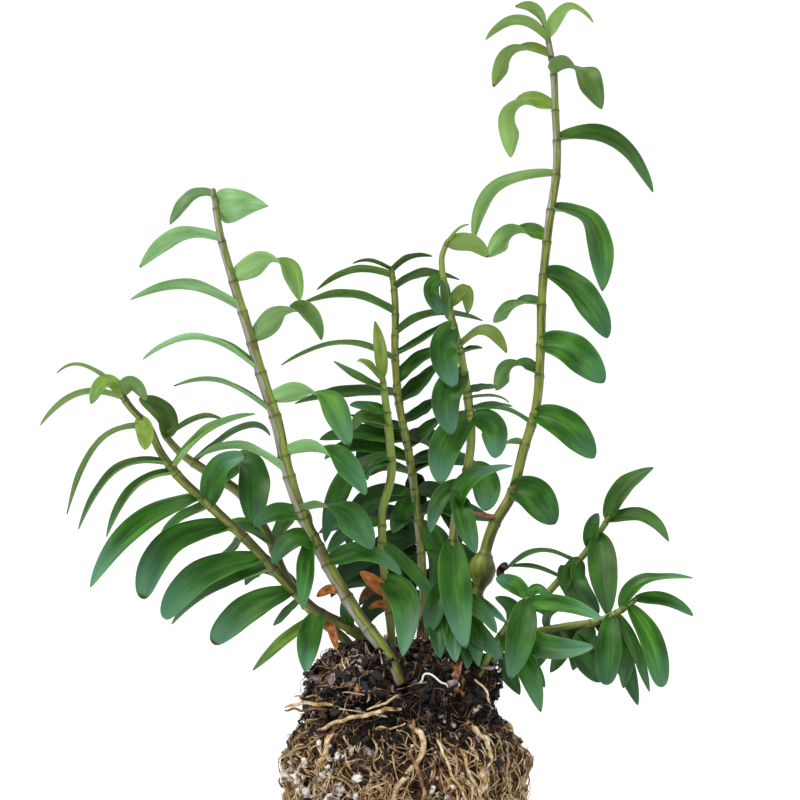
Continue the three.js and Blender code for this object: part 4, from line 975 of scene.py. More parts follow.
# ---- Root ball ------------------------------------------------------------------------------------------
# What the pot held together: fine black peat and rotted bark, pressed to the pot's shape, flat below and
# open and lumpy at the crown. Chips, grains and roots of the next sections lie in its skin.
BALL_DEPTH = 0.9  # a little shallower, front to back, than it is wide
BALL_PROFILE = [  # height, radius, then the middle of the crown
    (0, 38), (7, 43.5), (24, 46.5), (44, 47), (54, 43), (62, 37.5),
    (72, 37), (80, 36), (86, 30), (89, 14), (89.5, 0),
]
BALL_LUMPS = [(0.035, 3, 0.033), (0.025, 7, -0.11), (0.018, 11, 0.2)]  # depth, lumps round it, turn per mm
NECK = (63.5, 3.4, 2.6)  # height of the waist below the crown, its half height and its depth
HOLLOW = (0, -31, 82)  # middle of the dip in the crown where the left cane comes out
HOLLOW_REACH = 9  # half width of that dip
HOLLOW_DEPTH = 7.5
CROWN_SHARE = 0.5  # where, along the profile, the loose crown starts
CLOD_WAVE = 14.0  # mm from one big clod to the next
CLOD_RELIEF = (0.7, 2.2)  # how far they stand out on the wall, and how much farther on the crown
LUMP_WAVE = 6.5  # mm from one small lump to the next, which stands out 1 mm
CRUMB_WAVE = 2.4  # and of the crumbs
CRUMB_RELIEF = 0.8
PEAT_SUNK = 1.3  # the peat lies so far below the skin, in which the chips and roots lie
RELIEF_LIMITS = (-4.5, 1.8)  # deepest gap and highest clod
RIM_SHARE = 0.05  # along the profile, where the relief has its full height: the flat underside stays plain
SMOOTHING = (-3, -1, 1, 3)  # mm before and after each point, over which the profile's corners are rounded
BALL_ROWS = 170
BALL_SIDES = 260


def ball_surface(share, bearing):
    """Points on the pot-shaped ball: share 0 is the rim of its underside, 1 the middle of its crown.

    The profile's radius, smoothed over 6 mm, times one plus shallow sine lumps; y is a tenth less.
    """
    profile = np.array(BALL_PROFILE, float)
    run = np.concatenate([[0], np.cumsum(np.linalg.norm(np.diff(profile, axis=0), axis=1))])
    way = np.asarray(share) * run[-1]
    height, radius = (
        sum(np.interp(np.clip(way + step, 0, run[-1]), run, profile[:, axis]) for step in SMOOTHING) / 4
        for axis in (0, 1)
    )
    lumps = sum(depth * np.sin(count * bearing + twist * height) for depth, count, twist in BALL_LUMPS)
    radius = radius * (1 + lumps * np.clip(height / 8, 0, 1))
    x, y = radius * np.cos(bearing), radius * np.sin(bearing) * BALL_DEPTH
    return np.stack(np.broadcast_arrays(x, y, height), -1)


def ball_outside(share, bearing):
    """Unit vectors that point out of the ball: square to two small steps over its surface."""
    up = ball_surface(share + 0.004, bearing) - ball_surface(share - 0.004, bearing)
    aside = ball_surface(share, bearing + 0.02) - ball_surface(share, bearing - 0.02)
    return unit(np.cross(aside, up))


def crumble(points, wave, seed, count=36):
    """A smooth random value, about -1 to 1, at each point: the mean of many sine waves that run every way."""
    draw = np.random.default_rng(seed)
    ways = unit(draw.normal(size=(3, count)).T).T * (2 * np.pi / (wave * draw.uniform(0.6, 1.8, count)))
    return np.sin(points @ ways + draw.uniform(0, 2 * np.pi, count)).sum(-1) * 1.4 / math.sqrt(count)


def ball_skin(share, bearing, outward=0.0):
    """Points on the clods of the ball's skin: its surface moved out and in by random waves.

    They are highest at the crown. A waist is sunk below the crown and a bell-shaped hollow in its front,
    and the underside's rim stays where it is. `outward` moves each point that much farther out.
    """
    share, bearing = np.broadcast_arrays(share, bearing)
    points = ball_surface(share, bearing)
    loose = np.clip((share - CROWN_SHARE) / 0.12, 0, 1)
    on_wall, more_on_crown = CLOD_RELIEF
    clods = (on_wall + more_on_crown * loose) * crumble(points, CLOD_WAVE, 20)
    relief = clods + 1.0 * crumble(points, LUMP_WAVE, 21) - 0.6 * loose
    neck_height, neck_reach, neck_depth = NECK
    from_neck = points[..., 2] - neck_height
    relief = np.clip(relief, *RELIEF_LIMITS) - neck_depth * np.exp(-(from_neck / neck_reach) ** 2)
    from_hollow = np.linalg.norm(points - HOLLOW, axis=-1)
    relief = relief - HOLLOW_DEPTH * np.exp(-(from_hollow / HOLLOW_REACH) ** 2)
    relief = relief * np.clip(share / RIM_SHARE, 0, 1)
    return points + ball_outside(share, bearing) * (relief + outward)[..., None]


# Potting peat: damp, rotted bark and fibre, almost black, with no gloss but a wet glint here and there.
potting_peat, tree, shader = new_finish("potting_peat_damp")
where = add_node(tree, "ShaderNodeTexCoord").outputs["Object"]
# crumbs of about 1.5 mm in clods of about 9 mm
crumbs = add_node(
    tree, "ShaderNodeTexNoise", {"Scale": 620.0, "Detail": 6.0, "Roughness": 0.7}, {"Vector": where},
)
clods = add_node(tree, "ShaderNodeTexNoise", {"Scale": 110.0, "Detail": 3.0}, {"Vector": where})
both = add_node(tree, "ShaderNodeMix", {0: 0.5}, {2: crumbs, 3: clods}, data_type="FLOAT")
peat = add_node(tree, "ShaderNodeValToRGB", links={0: both}, stops=[
    (0.36, "#050403"), (0.50, "#0f0b09"), (0.60, "#211812"), (0.72, "#4a3829"),
])
# below the crown it is matted with dead roots and browner
matted = add_node(tree, "ShaderNodeValToRGB", links={0: both}, stops=[
    (0.38, "#190e0a"), (0.48, "#482c20"), (0.58, "#7c573e"), (0.70, "#b5956f"),
])
peat_height = add_node(tree, "ShaderNodeSeparateXYZ", links={0: where}).outputs["Z"]
ragged = add_node(tree, "ShaderNodeMath", {1: 0.05}, {0: clods, 2: peat_height}, operation="MULTIPLY_ADD")
mat_share = add_node(
    tree, "ShaderNodeMapRange", {1: 0.088, 2: 0.060, 3: 0.0, 4: 0.85}, {0: ragged},
    interpolation_type="SMOOTHSTEP",
)
browner = add_node(tree, "ShaderNodeMix", links={0: mat_share, 6: peat, 7: matted}, data_type="RGBA")
connect(tree, browner, shader.inputs["Base Color"])
rough = add_node(tree, "ShaderNodeMapRange", {1: 0.35, 2: 0.65, 3: 0.45, 4: 0.95}, {0: clods})
connect(tree, rough, shader.inputs["Roughness"])
bump = add_node(tree, "ShaderNodeBump", {"Strength": 0.9, "Distance": 0.0012}, {"Height": both})
connect(tree, bump, shader.inputs["Normal"])
shader.inputs["IOR"].default_value = 1.4

share, bearing = np.meshgrid(
    np.linspace(0.0, 0.992, BALL_ROWS), 2 * np.pi * np.arange(BALL_SIDES) / BALL_SIDES, indexing="ij",
)
fine = CRUMB_RELIEF * crumble(ball_surface(share, bearing), CRUMB_WAVE, 22) - PEAT_SUNK
skin = ball_skin(share, bearing, fine * np.clip(share / RIM_SHARE, 0, 1))
skin[..., 2] = np.clip(skin[..., 2], 0, 91)
faces, places = wrapped_grid(BALL_ROWS, BALL_SIDES)
make_piece(
    "root_ball_peat", np.concatenate([skin.reshape(-1, 3), [[0, 0, 0], skin[-1].mean(0)]]),
    faces, [part / (1, BALL_ROWS) for part in places], potting_peat, "root_ball",
)


# ---- Bark chips -----------------------------------------------------------------------------------------
# Broken pine bark, the open part of the mix: flat angular chips 2 to 9 mm long. They lie thickest round
# the crown, where the watering has washed the peat off.
CHIPS = 1500
LOOSE_CHIPS = 80  # of them, large ones that stick out of the crown on its left
CHIP_HALF_LENGTH = (0.9, 3.0)
LOOSE_HALF_LENGTH = (1.6, 3.6)
LARGE_CHIP = 1.6  # one chip in eight is so many times longer
CHIP_WIDTH = (0.3, 0.8)  # width and thickness, as shares of the length
CHIP_THICKNESS = (0.14, 0.34)
CHIP_SIDES = 6
CHIP_ROWS = 3
ANGULAR = 0.36  # share of its radius by which each corner of a chip, crumb or grain stands out or in
CROWN_LEFT = 3.75  # bearing of the loose chips' middle; a bearing runs from the right over the back
RUST_SPOT = (5.45, 0.66)  # bearing, and share of the profile, where the chips are rusty

# Pine bark: layers of cork in flat sheets, broken across. Black with a wet gleam where it is damp, greyish
# pink and matt where it has dried, and rust red where the inner bark shows. The palest of that pink also
# serves as painted highlight on the chips of the crown's lit left side.
bark_chip, tree, shader = new_finish("pine_bark_chip")
where = add_node(tree, "ShaderNodeTexCoord").outputs["Object"]
tone = add_node(tree, "ShaderNodeAttribute", attribute_name="tone").outputs["Fac"]
# layers of cork about 1 mm thick
layers = add_node(
    tree, "ShaderNodeTexNoise", {"Scale": 520.0, "Detail": 6.0, "Roughness": 0.75}, {"Vector": where},
)
wet = add_node(tree, "ShaderNodeValToRGB", links={0: layers}, stops=[
    (0.36, "#060505"), (0.52, "#110d0c"), (0.66, "#2b221d"),
])
dry_and_highlit = add_node(tree, "ShaderNodeValToRGB", links={0: layers}, stops=[
    (0.36, "#3b2d2a"), (0.50, "#91797a"), (0.62, "#ddd2d0"),
])
rust = add_node(tree, "ShaderNodeValToRGB", links={0: layers}, stops=[
    (0.36, "#4a2412"), (0.52, "#9a5a32"), (0.66, "#d8a57c"),
])
dry_and_highlight_share = add_node(tree, "ShaderNodeMapRange", {1: 0.70, 2: 0.95, 3: 0.0, 4: 1.0}, {0: tone})
rust_share = add_node(tree, "ShaderNodeMapRange", {1: 1.0, 2: 1.05, 3: 0.0, 4: 1.0}, {0: tone})
drier_and_highlit = add_node(tree, "ShaderNodeMix", links={0: dry_and_highlight_share, 6: wet, 7: dry_and_highlit}, data_type="RGBA")
rusty = add_node(tree, "ShaderNodeMix", links={0: rust_share, 6: drier_and_highlit, 7: rust}, data_type="RGBA")
connect(tree, rusty, shader.inputs["Base Color"])
rough = add_node(tree, "ShaderNodeMapRange", {1: 0.3, 2: 0.7, 3: 0.28, 4: 0.85}, {0: layers})
connect(tree, rough, shader.inputs["Roughness"])
bump = add_node(tree, "ShaderNodeBump", {"Strength": 0.9, "Distance": 0.0007}, {"Height": layers})
connect(tree, bump, shader.inputs["Normal"])


def scatter(place, outside, size, rows, sides, seed, tilt):
    """Points, faces and corner places of many small closed lumps that lie in the ball's skin.

    Each lump is a squashed ball, `rows` by `sides`, its radius shaken point by point, stretched to its
    three half sizes, turned at random about the ball's outward direction and tilted a little.
    """
    count = len(place)
    draw = np.random.default_rng(seed)
    outside = unit(outside + draw.normal(size=(count, 3)) * tilt)
    first = unit(np.cross(outside, draw.normal(size=(count, 3))))
    second = np.cross(outside, first)
    polar = np.pi * (np.arange(rows) + 1) / (rows + 1)
    round_angle = 2 * np.pi * np.arange(sides) / sides
    shake = 1 + ANGULAR * draw.uniform(-1, 1, (count, rows, sides))
    x = np.sin(polar)[:, None] * np.cos(round_angle) * shake
    y = np.sin(polar)[:, None] * np.sin(round_angle) * shake
    z = np.cos(polar)[:, None] * (1 + 0 * round_angle) * shake
    x, y, z = (np.concatenate([part.reshape(count, -1), np.zeros((count, 2))], 1) for part in (x, y, z))
    z[:, -2], z[:, -1] = 1.0, -1.0
    points = (
        place[:, None]
        + first[:, None] * (x * size[:, :1])[..., None]
        + second[:, None] * (y * size[:, 1:2])[..., None]
        + outside[:, None] * (z * size[:, 2:])[..., None]
    )
    points[..., 2] = np.maximum(points[..., 2], 0.2)  # none pokes through what the plant stands on
    faces, places = many_grids(count, rows, sides)
    turned_over = [part[:, ::-1] for part in faces]  # a lump's rows run down, where a leaf's run up
    return points.reshape(-1, 3), turned_over, [part[:, ::-1] / (1, rows) for part in places]


draw = np.random.default_rng(31)
chip_share = np.clip(1 - np.abs(draw.normal(0, 0.30, CHIPS)), 0.05, 0.985)
chip_bearing = draw.uniform(0, 2 * np.pi, CHIPS)
chip_share[:LOOSE_CHIPS] = draw.uniform(0.56, 0.84, LOOSE_CHIPS)
chip_bearing[:LOOSE_CHIPS] = draw.normal(CROWN_LEFT, 0.35, LOOSE_CHIPS)
chip_length = draw.uniform(*CHIP_HALF_LENGTH, CHIPS)
chip_length = chip_length * np.where(draw.uniform(size=CHIPS) > 0.88, LARGE_CHIP, 1.0)
chip_length[:LOOSE_CHIPS] = draw.uniform(*LOOSE_HALF_LENGTH, LOOSE_CHIPS)
chip_size = chip_length[:, None] * np.stack(
    [np.ones(CHIPS), draw.uniform(*CHIP_WIDTH, CHIPS), draw.uniform(*CHIP_THICKNESS, CHIPS)], -1,
)
chip_out = draw.uniform(-0.9, 1.1, CHIPS) + 0.9 * (np.arange(CHIPS) < LOOSE_CHIPS)
chip_points, chip_faces, chip_places = scatter(
    ball_skin(chip_share, chip_bearing, chip_out), ball_outside(chip_share, chip_bearing),
    chip_size, CHIP_ROWS, CHIP_SIDES, seed=32, tilt=0.8,
)
# tone 0 to 0.7 is wet, 0.95 dry and over 1 rusty: the pale chips, dried bark with painted highlight, lie
# mostly on the lit left of the crown
chip_tone = draw.uniform(0, 0.98, CHIPS) + 0.22 * (np.cos(chip_bearing) < -0.35) * (chip_share > 0.55)
at_rust = (np.abs(chip_bearing - RUST_SPOT[0]) < 0.14) & (np.abs(chip_share - RUST_SPOT[1]) < 0.05)
chip_tone = np.where(at_rust, 1.1, np.minimum(chip_tone, 0.99)) + 0.1 * (draw.uniform(size=CHIPS) > 0.985)
make_piece(
    "bark_chips", chip_points, chip_faces, chip_places, bark_chip, "root_ball",
    {"tone": np.repeat(chip_tone, CHIP_ROWS * CHIP_SIDES + 2)}, smooth=False,
)


# ---- Peat crumbs ----------------------------------------------------------------------------------------
# Loose crumbs of the same peat, up to 3 mm across. They cling to the ball and to each other, because they
# are damp.
CRUMBS = 4200
CRUMB_HALF_SIZE = (0.3, 1.2)
draw = np.random.default_rng(33)
crumb_share = draw.uniform(0.02, 0.985, CRUMBS) ** 0.5
crumb_bearing = draw.uniform(0, 2 * np.pi, CRUMBS)
crumb_size = draw.uniform(*CRUMB_HALF_SIZE, (CRUMBS, 1)) * draw.uniform(0.6, 1.3, (CRUMBS, 3))
crumb_points, crumb_faces, crumb_places = scatter(
    ball_skin(crumb_share, crumb_bearing, draw.uniform(-0.9, 1.5, CRUMBS)),
    ball_outside(crumb_share, crumb_bearing), crumb_size, rows=2, sides=5, seed=34, tilt=0.7,
)
make_piece(
    "peat_crumbs", crumb_points, crumb_faces, crumb_places, potting_peat, "root_ball",
    smooth=False,
)


# ---- Perlite --------------------------------------------------------------------------------------------
# Grains that keep the mix airy, in patches where they were not well mixed in. Most of them lie low in the
# ball, half sunk in peat and roots.
GRAINS = 200  # besides those in the patches and the larger lumps
GRAIN_HALF_SIZE = (0.4, 1.3)
PATCHES = [  # where many grains lie together: bearing, share of the profile, grains
    (4.27, 0.26, 40), (4.12, 0.35, 10), (3.86, 0.24, 16), (3.72, 0.34, 12), (4.02, 0.41, 8),
    (4.62, 0.22, 8), (5.1, 0.28, 10), (5.5, 0.24, 8), (0.5, 0.28, 20), (1.3, 0.22, 18),
    (2.2, 0.32, 20), (2.9, 0.2, 14), (6.0, 0.2, 12),
]
LUMPS = [  # the larger lumps: bearing, share of the profile, half size
    (3.95, 0.21, 3.0), (4.15, 0.27, 3.2), (4.22, 0.305, 3.4), (4.38, 0.345, 2.4), (3.84, 0.385, 2.4),
    (3.97, 0.33, 1.9), (3.82, 0.29, 2.2), (3.55, 0.33, 2.4), (3.72, 0.35, 1.6),
    (5.05, 0.29, 1.2), (5.25, 0.27, 1.3), (5.4, 0.29, 1.0), (0.6, 0.3, 2.4), (1.5, 0.22, 2.6),
    (2.4, 0.34, 2.2), (2.0, 0.13, 2.4), (0.1, 0.2, 2.2), (5.8, 0.16, 2.0),
]

# Perlite: volcanic glass, heated until it puffed up. Chalky white, matt and full of pores, with brown
# stains of peat.
perlite_grain, tree, shader = new_finish("perlite_expanded_glass")
where = add_node(tree, "ShaderNodeTexCoord").outputs["Object"]
# pores of about 0.4 mm, stains of about 3 mm
pores = add_node(tree, "ShaderNodeTexNoise", {"Scale": 1300.0, "Detail": 4.0}, {"Vector": where})
stain = add_node(tree, "ShaderNodeTexNoise", {"Scale": 320.0, "Detail": 4.0}, {"Vector": where})
chalk = add_node(tree, "ShaderNodeValToRGB", links={0: stain}, stops=[
    (0.41, "#6b5a49"), (0.48, "#b5ab9d"), (0.58, "#efedea"),
])
connect(tree, chalk, shader.inputs["Base Color"])
shader.inputs["Roughness"].default_value = 0.85
bump = add_node(tree, "ShaderNodeBump", {"Strength": 0.9, "Distance": 0.0004}, {"Height": pores})
connect(tree, bump, shader.inputs["Normal"])

draw = np.random.default_rng(35)
lumps = np.array(LUMPS)
patches = np.concatenate([np.tile(row, (row[2], 1)) for row in PATCHES])
in_patch = len(patches)
grain_share = np.concatenate([
    np.clip(draw.beta(1.6, 2.6, GRAINS), 0.03, 0.97),
    lumps[:, 1],
    patches[:, 1] + draw.normal(0, 0.022, in_patch),
])
grain_bearing = np.concatenate([
    draw.uniform(0, 2 * np.pi, GRAINS), lumps[:, 0], patches[:, 0] + draw.normal(0, 0.075, in_patch),
])
grain_size = np.concatenate([
    draw.uniform(*GRAIN_HALF_SIZE, GRAINS), lumps[:, 2], draw.uniform(0.4, 1.5, in_patch),
])
grain_size = grain_size[:, None] * draw.uniform(0.65, 1.2, (len(grain_share), 3))
grain_out = draw.uniform(-0.2, 1.0, len(grain_share))
grain_out = grain_out + np.repeat([0, 0.7, 0.5], [GRAINS, len(lumps), in_patch])
grain_points, grain_faces, grain_places = scatter(
    ball_skin(grain_share, grain_bearing, grain_out), ball_outside(grain_share, grain_bearing),
    grain_size, rows=4, sides=7, seed=36, tilt=0.6,
)
make_piece(
    "perlite_grains", grain_points, grain_faces, grain_places, perlite_grain, "root_ball",
)


# ---- Roots ----------------------------------------------------------------------------------------------
# The main roots leave the creeping rhizome in the crown and run down the ball. Finer ones wind over its
# lower part in a dense net, as the pot's wall led them.
RHIZOME = [(-15, 0, 66), (2, -2, 68), (21, 0, 66)]  # the creeping stem under the feet of the canes
RHIZOME_RADIUS = 3.6
MAIN_ROOTS = 7
MAIN_ROOT_RADIUS = 1.25
MAIN_ROOT_THINNING = 0.35  # share of its radius that a main root loses on its way down
MAIN_ROOT_STREAM = 19  # start of the stream of draws by which the solid's roots are laid too
MAIN_ROOT_EXIT = (58, 4)  # least height at which a main root comes out of the ball, and the play above it
MAIN_ROOT_FOOT = (8, 14)  # the same for the height at which it ends
MAIN_ROOT_WANDER = 0.6  # radians that it may stray round the ball
MAIN_ROOT_SWAY = 0.09  # radians that it sways to and fro
WINDING_ROOTS = 860
WINDING_RADIUS = (0.18, 0.58)
WINDING_TOP = (14, 61)  # heights between which the winding roots start
WINDING_DROP = (8, 42)  # how far they run down
ROOT_ROWS = 18
ROOT_SIDES = 5

# Velamen: the spongy, tan, papery skin of an orchid's root over a wiry core. It is matt and blotched, brown
# where it has died, and nearly white on a new root.
root_skin, tree, shader = new_finish("orchid_root_velamen")
where = add_node(tree, "ShaderNodeTexCoord").outputs["Object"]
tone = add_node(tree, "ShaderNodeAttribute", attribute_name="tone").outputs["Fac"]
# blotches of about 3 mm with fluff down to 0.3 mm
blotches = add_node(
    tree, "ShaderNodeTexNoise", {"Scale": 330.0, "Detail": 5.0, "Roughness": 0.7}, {"Vector": where},
)
tan = add_node(tree, "ShaderNodeValToRGB", links={0: blotches}, stops=[
    (0.34, "#8f6636"), (0.45, "#c4a069"), (0.54, "#e2cfa3"), (0.66, "#f6efda"),
])
brown = add_node(tree, "ShaderNodeValToRGB", links={0: blotches}, stops=[
    (0.34, "#331a0d"), (0.50, "#74451f"), (0.66, "#b37a45"),
])
aged = add_node(tree, "ShaderNodeMix", links={0: tone, 6: brown, 7: tan}, data_type="RGBA")
new_share = add_node(tree, "ShaderNodeMapRange", {1: 1.0, 2: 1.3, 3: 0.0, 4: 0.85}, {0: tone})
pale = add_node(tree, "ShaderNodeMix", {7: linear("#f4f1e8")}, {0: new_share, 6: aged}, data_type="RGBA")
connect(tree, pale, shader.inputs["Base Color"])
shader.inputs["Roughness"].default_value = 0.75
bump = add_node(tree, "ShaderNodeBump", {"Strength": 0.6, "Distance": 0.0004}, {"Height": blotches})
connect(tree, bump, shader.inputs["Normal"])


def root_tube(centre, radius, sides):
    """Points of many round tubes at once: rings square to each centreline, then its two end points.

    `centre` is tube by row by xyz, `radius` tube by row. The first direction of a ring lies along the
    cross product of the way the root runs with a fixed slanting direction.
    """
    along = unit(np.gradient(centre, axis=1))
    slant = np.array([0.37, 0.55, 0.11]) + 0 * along
    across = unit(np.cross(slant, along))
    up = np.cross(along, across)
    angle = 2 * np.pi * np.arange(sides) / sides
    ring = across[:, :, None] * np.cos(angle)[:, None] + up[:, :, None] * np.sin(angle)[:, None]
    points = centre[:, :, None] + ring * radius[:, :, None, None]
    start = centre[:, 0] - along[:, 0] * radius[:, :1]
    end = centre[:, -1] + along[:, -1] * radius[:, -1:]
    return np.concatenate([points.reshape(len(centre), -1, 3), np.stack([start, end], 1)], 1)


def root_piece(name, tubes, sides, tones, replaced=None):
    """One piece of many tubes: pairs of centrelines and radii, and a tone for each root of each pair."""
    points, faces, places, shades, first = [], [], [], [], 0
    for (centre, radius), tone_of_each in zip(tubes, tones):
        count, rows = radius.shape
        own_faces, own_places = many_grids(count, rows, sides)
        faces.append([part + first for part in own_faces])
        places.append([part / (1, rows) for part in own_places])
        tube = root_tube(centre, radius, sides).reshape(-1, 3)
        tube[:, 2] = np.maximum(tube[:, 2], 0.2)  # none pokes through what the plant stands on
        points.append(tube)
        shades.append(np.repeat(tone_of_each, rows * sides + 2))
        first += len(tube)
    faces, places = ([np.concatenate(group) for group in zip(*parts)] for parts in (faces, places))
    traits = {"tone": np.concatenate(shades)}
    return make_piece(name, np.concatenate(points), faces, places, root_skin, replaced, traits)


def height_share(height):
    """Share of the ball's profile at a height below the crown's edge."""
    shares = np.linspace(0, 0.85, 400)
    return np.interp(height, ball_surface(shares, 0 * shares)[:, 2], shares)


def stream_draws(state, count):
    """The next draws, 0 to 1, of the plain congruential stream by which the main roots are laid."""
    drawn = []
    for _ in range(count):
        state = (state * 1664525 + 1013904223) % 4294967296
        drawn.append(state / 4294967296)
    return drawn


# each main root goes straight from the rhizome to the ball's skin, then down it with a slow sway
draws = np.array(stream_draws(MAIN_ROOT_STREAM, 4 * MAIN_ROOTS)).reshape(MAIN_ROOTS, 4)
main_bearing = 2 * np.pi * (np.arange(MAIN_ROOTS) + 0.6 * draws[:, 0]) / MAIN_ROOTS
main_wander = -MAIN_ROOT_WANDER + 2 * MAIN_ROOT_WANDER * draws[:, 1]
main_foot = MAIN_ROOT_FOOT[0] + MAIN_ROOT_FOOT[1] * draws[:, 2]
main_exit = MAIN_ROOT_EXIT[0] + MAIN_ROOT_EXIT[1] * draws[:, 3]
step = np.linspace(0, 1, 44)[None, :]
main_height = main_exit[:, None] + (main_foot - main_exit)[:, None] * step
main_sway = main_wander[:, None] * step**2 + MAIN_ROOT_SWAY * np.sin(3 * np.pi * step)
main_out = 0.2 + 0.5 * np.sin(17 * step + main_bearing[:, None])
main_line = ball_skin(height_share(main_height), main_bearing[:, None] + main_sway, main_out)
nearer_end = np.where(np.cos(main_bearing) < 0, -11.0, 17.0)
start = np.stack([nearer_end, 0 * main_bearing, 0 * main_bearing + RHIZOME[0][2]], -1)
inner = np.linspace(0, 1, 9)[None, :-1, None]
main_line = np.concatenate([start[:, None] * (1 - inner) + main_line[:, :1] * inner, main_line], 1)
way_down = np.concatenate([np.zeros((MAIN_ROOTS, 8)), step + np.zeros((MAIN_ROOTS, 1))], 1)
main_radius = MAIN_ROOT_RADIUS * (1 - MAIN_ROOT_THINNING * way_down)

rhizome_step = np.linspace(0, 2, 24)
rhizome_line = np.stack([np.interp(rhizome_step, (0, 1, 2), axis) for axis in zip(*RHIZOME)], -1)[None]
rhizome_radius = RHIZOME_RADIUS + 0.4 * np.sin(rhizome_step * 9)[None]
root_piece(
    "rhizome_and_main_roots", [(main_line, main_radius), (rhizome_line, rhizome_radius)], sides=10,
    tones=[np.linspace(0.55, 0.95, MAIN_ROOTS), np.array([0.2])], replaced="rhizome_and_roots",
)


def waves(draw, run, count, radians):
    """Sine waves along `count` roots, each over a number of radians and from a start of its own."""
    return np.sin(draw.uniform(*radians, (count, 1)) * run + draw.uniform(0, 6, (count, 1)))


# the winding roots: heights, bearings and distances from the skin that wave as they run, both ends sunk
draw = np.random.default_rng(41)
count = WINDING_ROOTS
run = np.linspace(0, 1, ROOT_ROWS)[None, :]
winding_top = draw.uniform(*WINDING_TOP, (count, 1))
winding_height = np.clip(winding_top - draw.uniform(*WINDING_DROP, (count, 1)) * run, 1.2, 62)
winding_bearing = draw.uniform(0, 2 * np.pi, (count, 1)) + draw.normal(0, 0.26, (count, 1)) * run
winding_bearing = winding_bearing + draw.uniform(0.01, 0.06, (count, 1)) * waves(draw, run, count, (4, 16))
winding_depth = draw.uniform(-0.8, 1.5, (count, 1))
winding_out = winding_depth + draw.uniform(0.2, 1.2, (count, 1)) * waves(draw, run, count, (3, 13))
winding_out = winding_out - 2.5 * np.exp(-run / 0.06) - 2.0 * np.exp(-(1 - run) / 0.08)
winding_line = ball_skin(height_share(winding_height), winding_bearing, np.clip(winding_out, -3, 2.6))
winding_radius = draw.uniform(*WINDING_RADIUS, (count, 1)) * (1 - 0.5 * run)
winding_radius = winding_radius * (1 + 0.12 * np.sin(40 * run + winding_top))
winding_tone = np.clip(draw.normal(0.62, 0.36, count), 0, 1)
root_piece("winding_roots", [(winding_line, winding_radius)], ROOT_SIDES, [winding_tone])


# ---- Rootlets -------------------------------------------------------------------------------------------
# Hair-fine side roots and fibres of old bark, under half a millimetre thick, over ball and crown alike.
# Those on the crown are dark with peat.
ROOTLETS = 1500
ROOTLET_RADIUS = (0.07, 0.2)
CROWN_STAIN = 0.3  # share of its tone that a rootlet keeps on the crown
draw = np.random.default_rng(43)
count = ROOTLETS
run = np.linspace(0, 1, 11)[None, :]
rootlet_share = 0.02 + 0.95 * draw.uniform(0, 1, (count, 1)) ** 1.6 + draw.normal(0, 0.07, (count, 1)) * run
rootlet_share = rootlet_share + 0.012 * waves(draw, run, count, (5, 14))
rootlet_bearing = draw.uniform(0, 2 * np.pi, (count, 1)) + draw.normal(0, 0.18, (count, 1)) * run
rootlet_bearing = rootlet_bearing + 0.03 * waves(draw, run, count, (5, 16))
rootlet_out = draw.uniform(0.0, 2.0, (count, 1)) + 0.9 * waves(draw, run, count, (2, 8))
rootlet_out = rootlet_out - 1.5 * np.exp(-run / 0.08)
rootlet_line = ball_skin(np.clip(rootlet_share, 0.01, 0.985), rootlet_bearing, rootlet_out)
rootlet_radius = draw.uniform(*ROOTLET_RADIUS, (count, 1)) + 0 * run
on_crown = rootlet_share[:, 0] > CROWN_SHARE
rootlet_tone = np.clip(draw.normal(0.5, 0.4, count), 0, 1) * np.where(on_crown, CROWN_STAIN, 1.0)
root_piece("rootlets", [(rootlet_line, rootlet_radius)], sides=3, tones=[rootlet_tone])


# ---- Loose roots at the crown ---------------------------------------------------------------------------
# A few roots that stand clear of the ball: some that reach out to the left, a pale new one that arches over
# the front of the crown, and short ends between the canes.
CROWN_ROOTS = [  # rows of x, y, z; radius; tone (1 pale tan, 0 brown)
    ([(0, -33, 67), (-9, -35, 65.5), (-18, -34, 63), (-27, -27, 60), (-34, -20, 57)], 0.85, 0.8),
    ([(-2, -34, 72), (-7, -35.5, 69), (-13, -34.5, 66.5)], 0.5, 0.9),
    ([(-22, -24, 67.5), (-30, -22, 68), (-38, -19, 68.2), (-45.5, -15, 67)], 0.8, 0.85),
    ([(-24, -22, 65.5), (-33, -19, 66), (-40, -16, 65.5), (-46, -13, 65)], 0.6, 0.1),
    ([(-25, -20, 69), (-34, -17, 70.5), (-42, -12, 69.5)], 0.45, 0.6),
    ([(7.5, -30, 76.5), (9.5, -34.5, 80), (12.5, -36.5, 81), (16, -36.5, 78.5), (18.5, -33.5, 75)],
     0.42, 1.35),
    ([(29, -26, 78), (33, -25.5, 74), (36, -23.5, 68)], 0.45, 0.9),
    ([(-16, -28, 78), (-12, -30.5, 74), (-13, -32, 69)], 0.5, 0.6),
    ([(-22, -24, 86), (-20, -27.5, 80), (-23, -28.5, 75)], 0.5, 0.75),
    ([(-17, -27, 84), (-22, -28.5, 79), (-21, -28, 75)], 0.45, 0.9),
    ([(-6, -30, 58), (-5, -36, 52), (-7, -41, 45), (-6, -43, 36)], 0.6, 0.9),
    ([(5, -33, 62), (6, -38, 55), (4, -42, 49), (8, -43.5, 41), (9, -43, 30)], 0.75, 0.15),
    ([(15, -36, 55), (18, -40, 47), (22, -41, 38), (27, -38.5, 30)], 0.6, 0.9),
    ([(24, -34, 50), (27, -35, 42), (31, -34, 34), (33, -34, 26)], 0.7, 0.8),
]
CROWN_ROOT_ROWS = 26
KINK = 0.35  # how far a loose root wriggles off its line
KINK_WAVE = 7.0  # mm from one wriggle to the next
STRANDS = 46
STRANDS_MIDDLE = 3.85  # bearing about which the strands lie, left of the front
STRAND_RADIUS = (0.22, 0.55)
crown_tubes, crown_tones = [], []
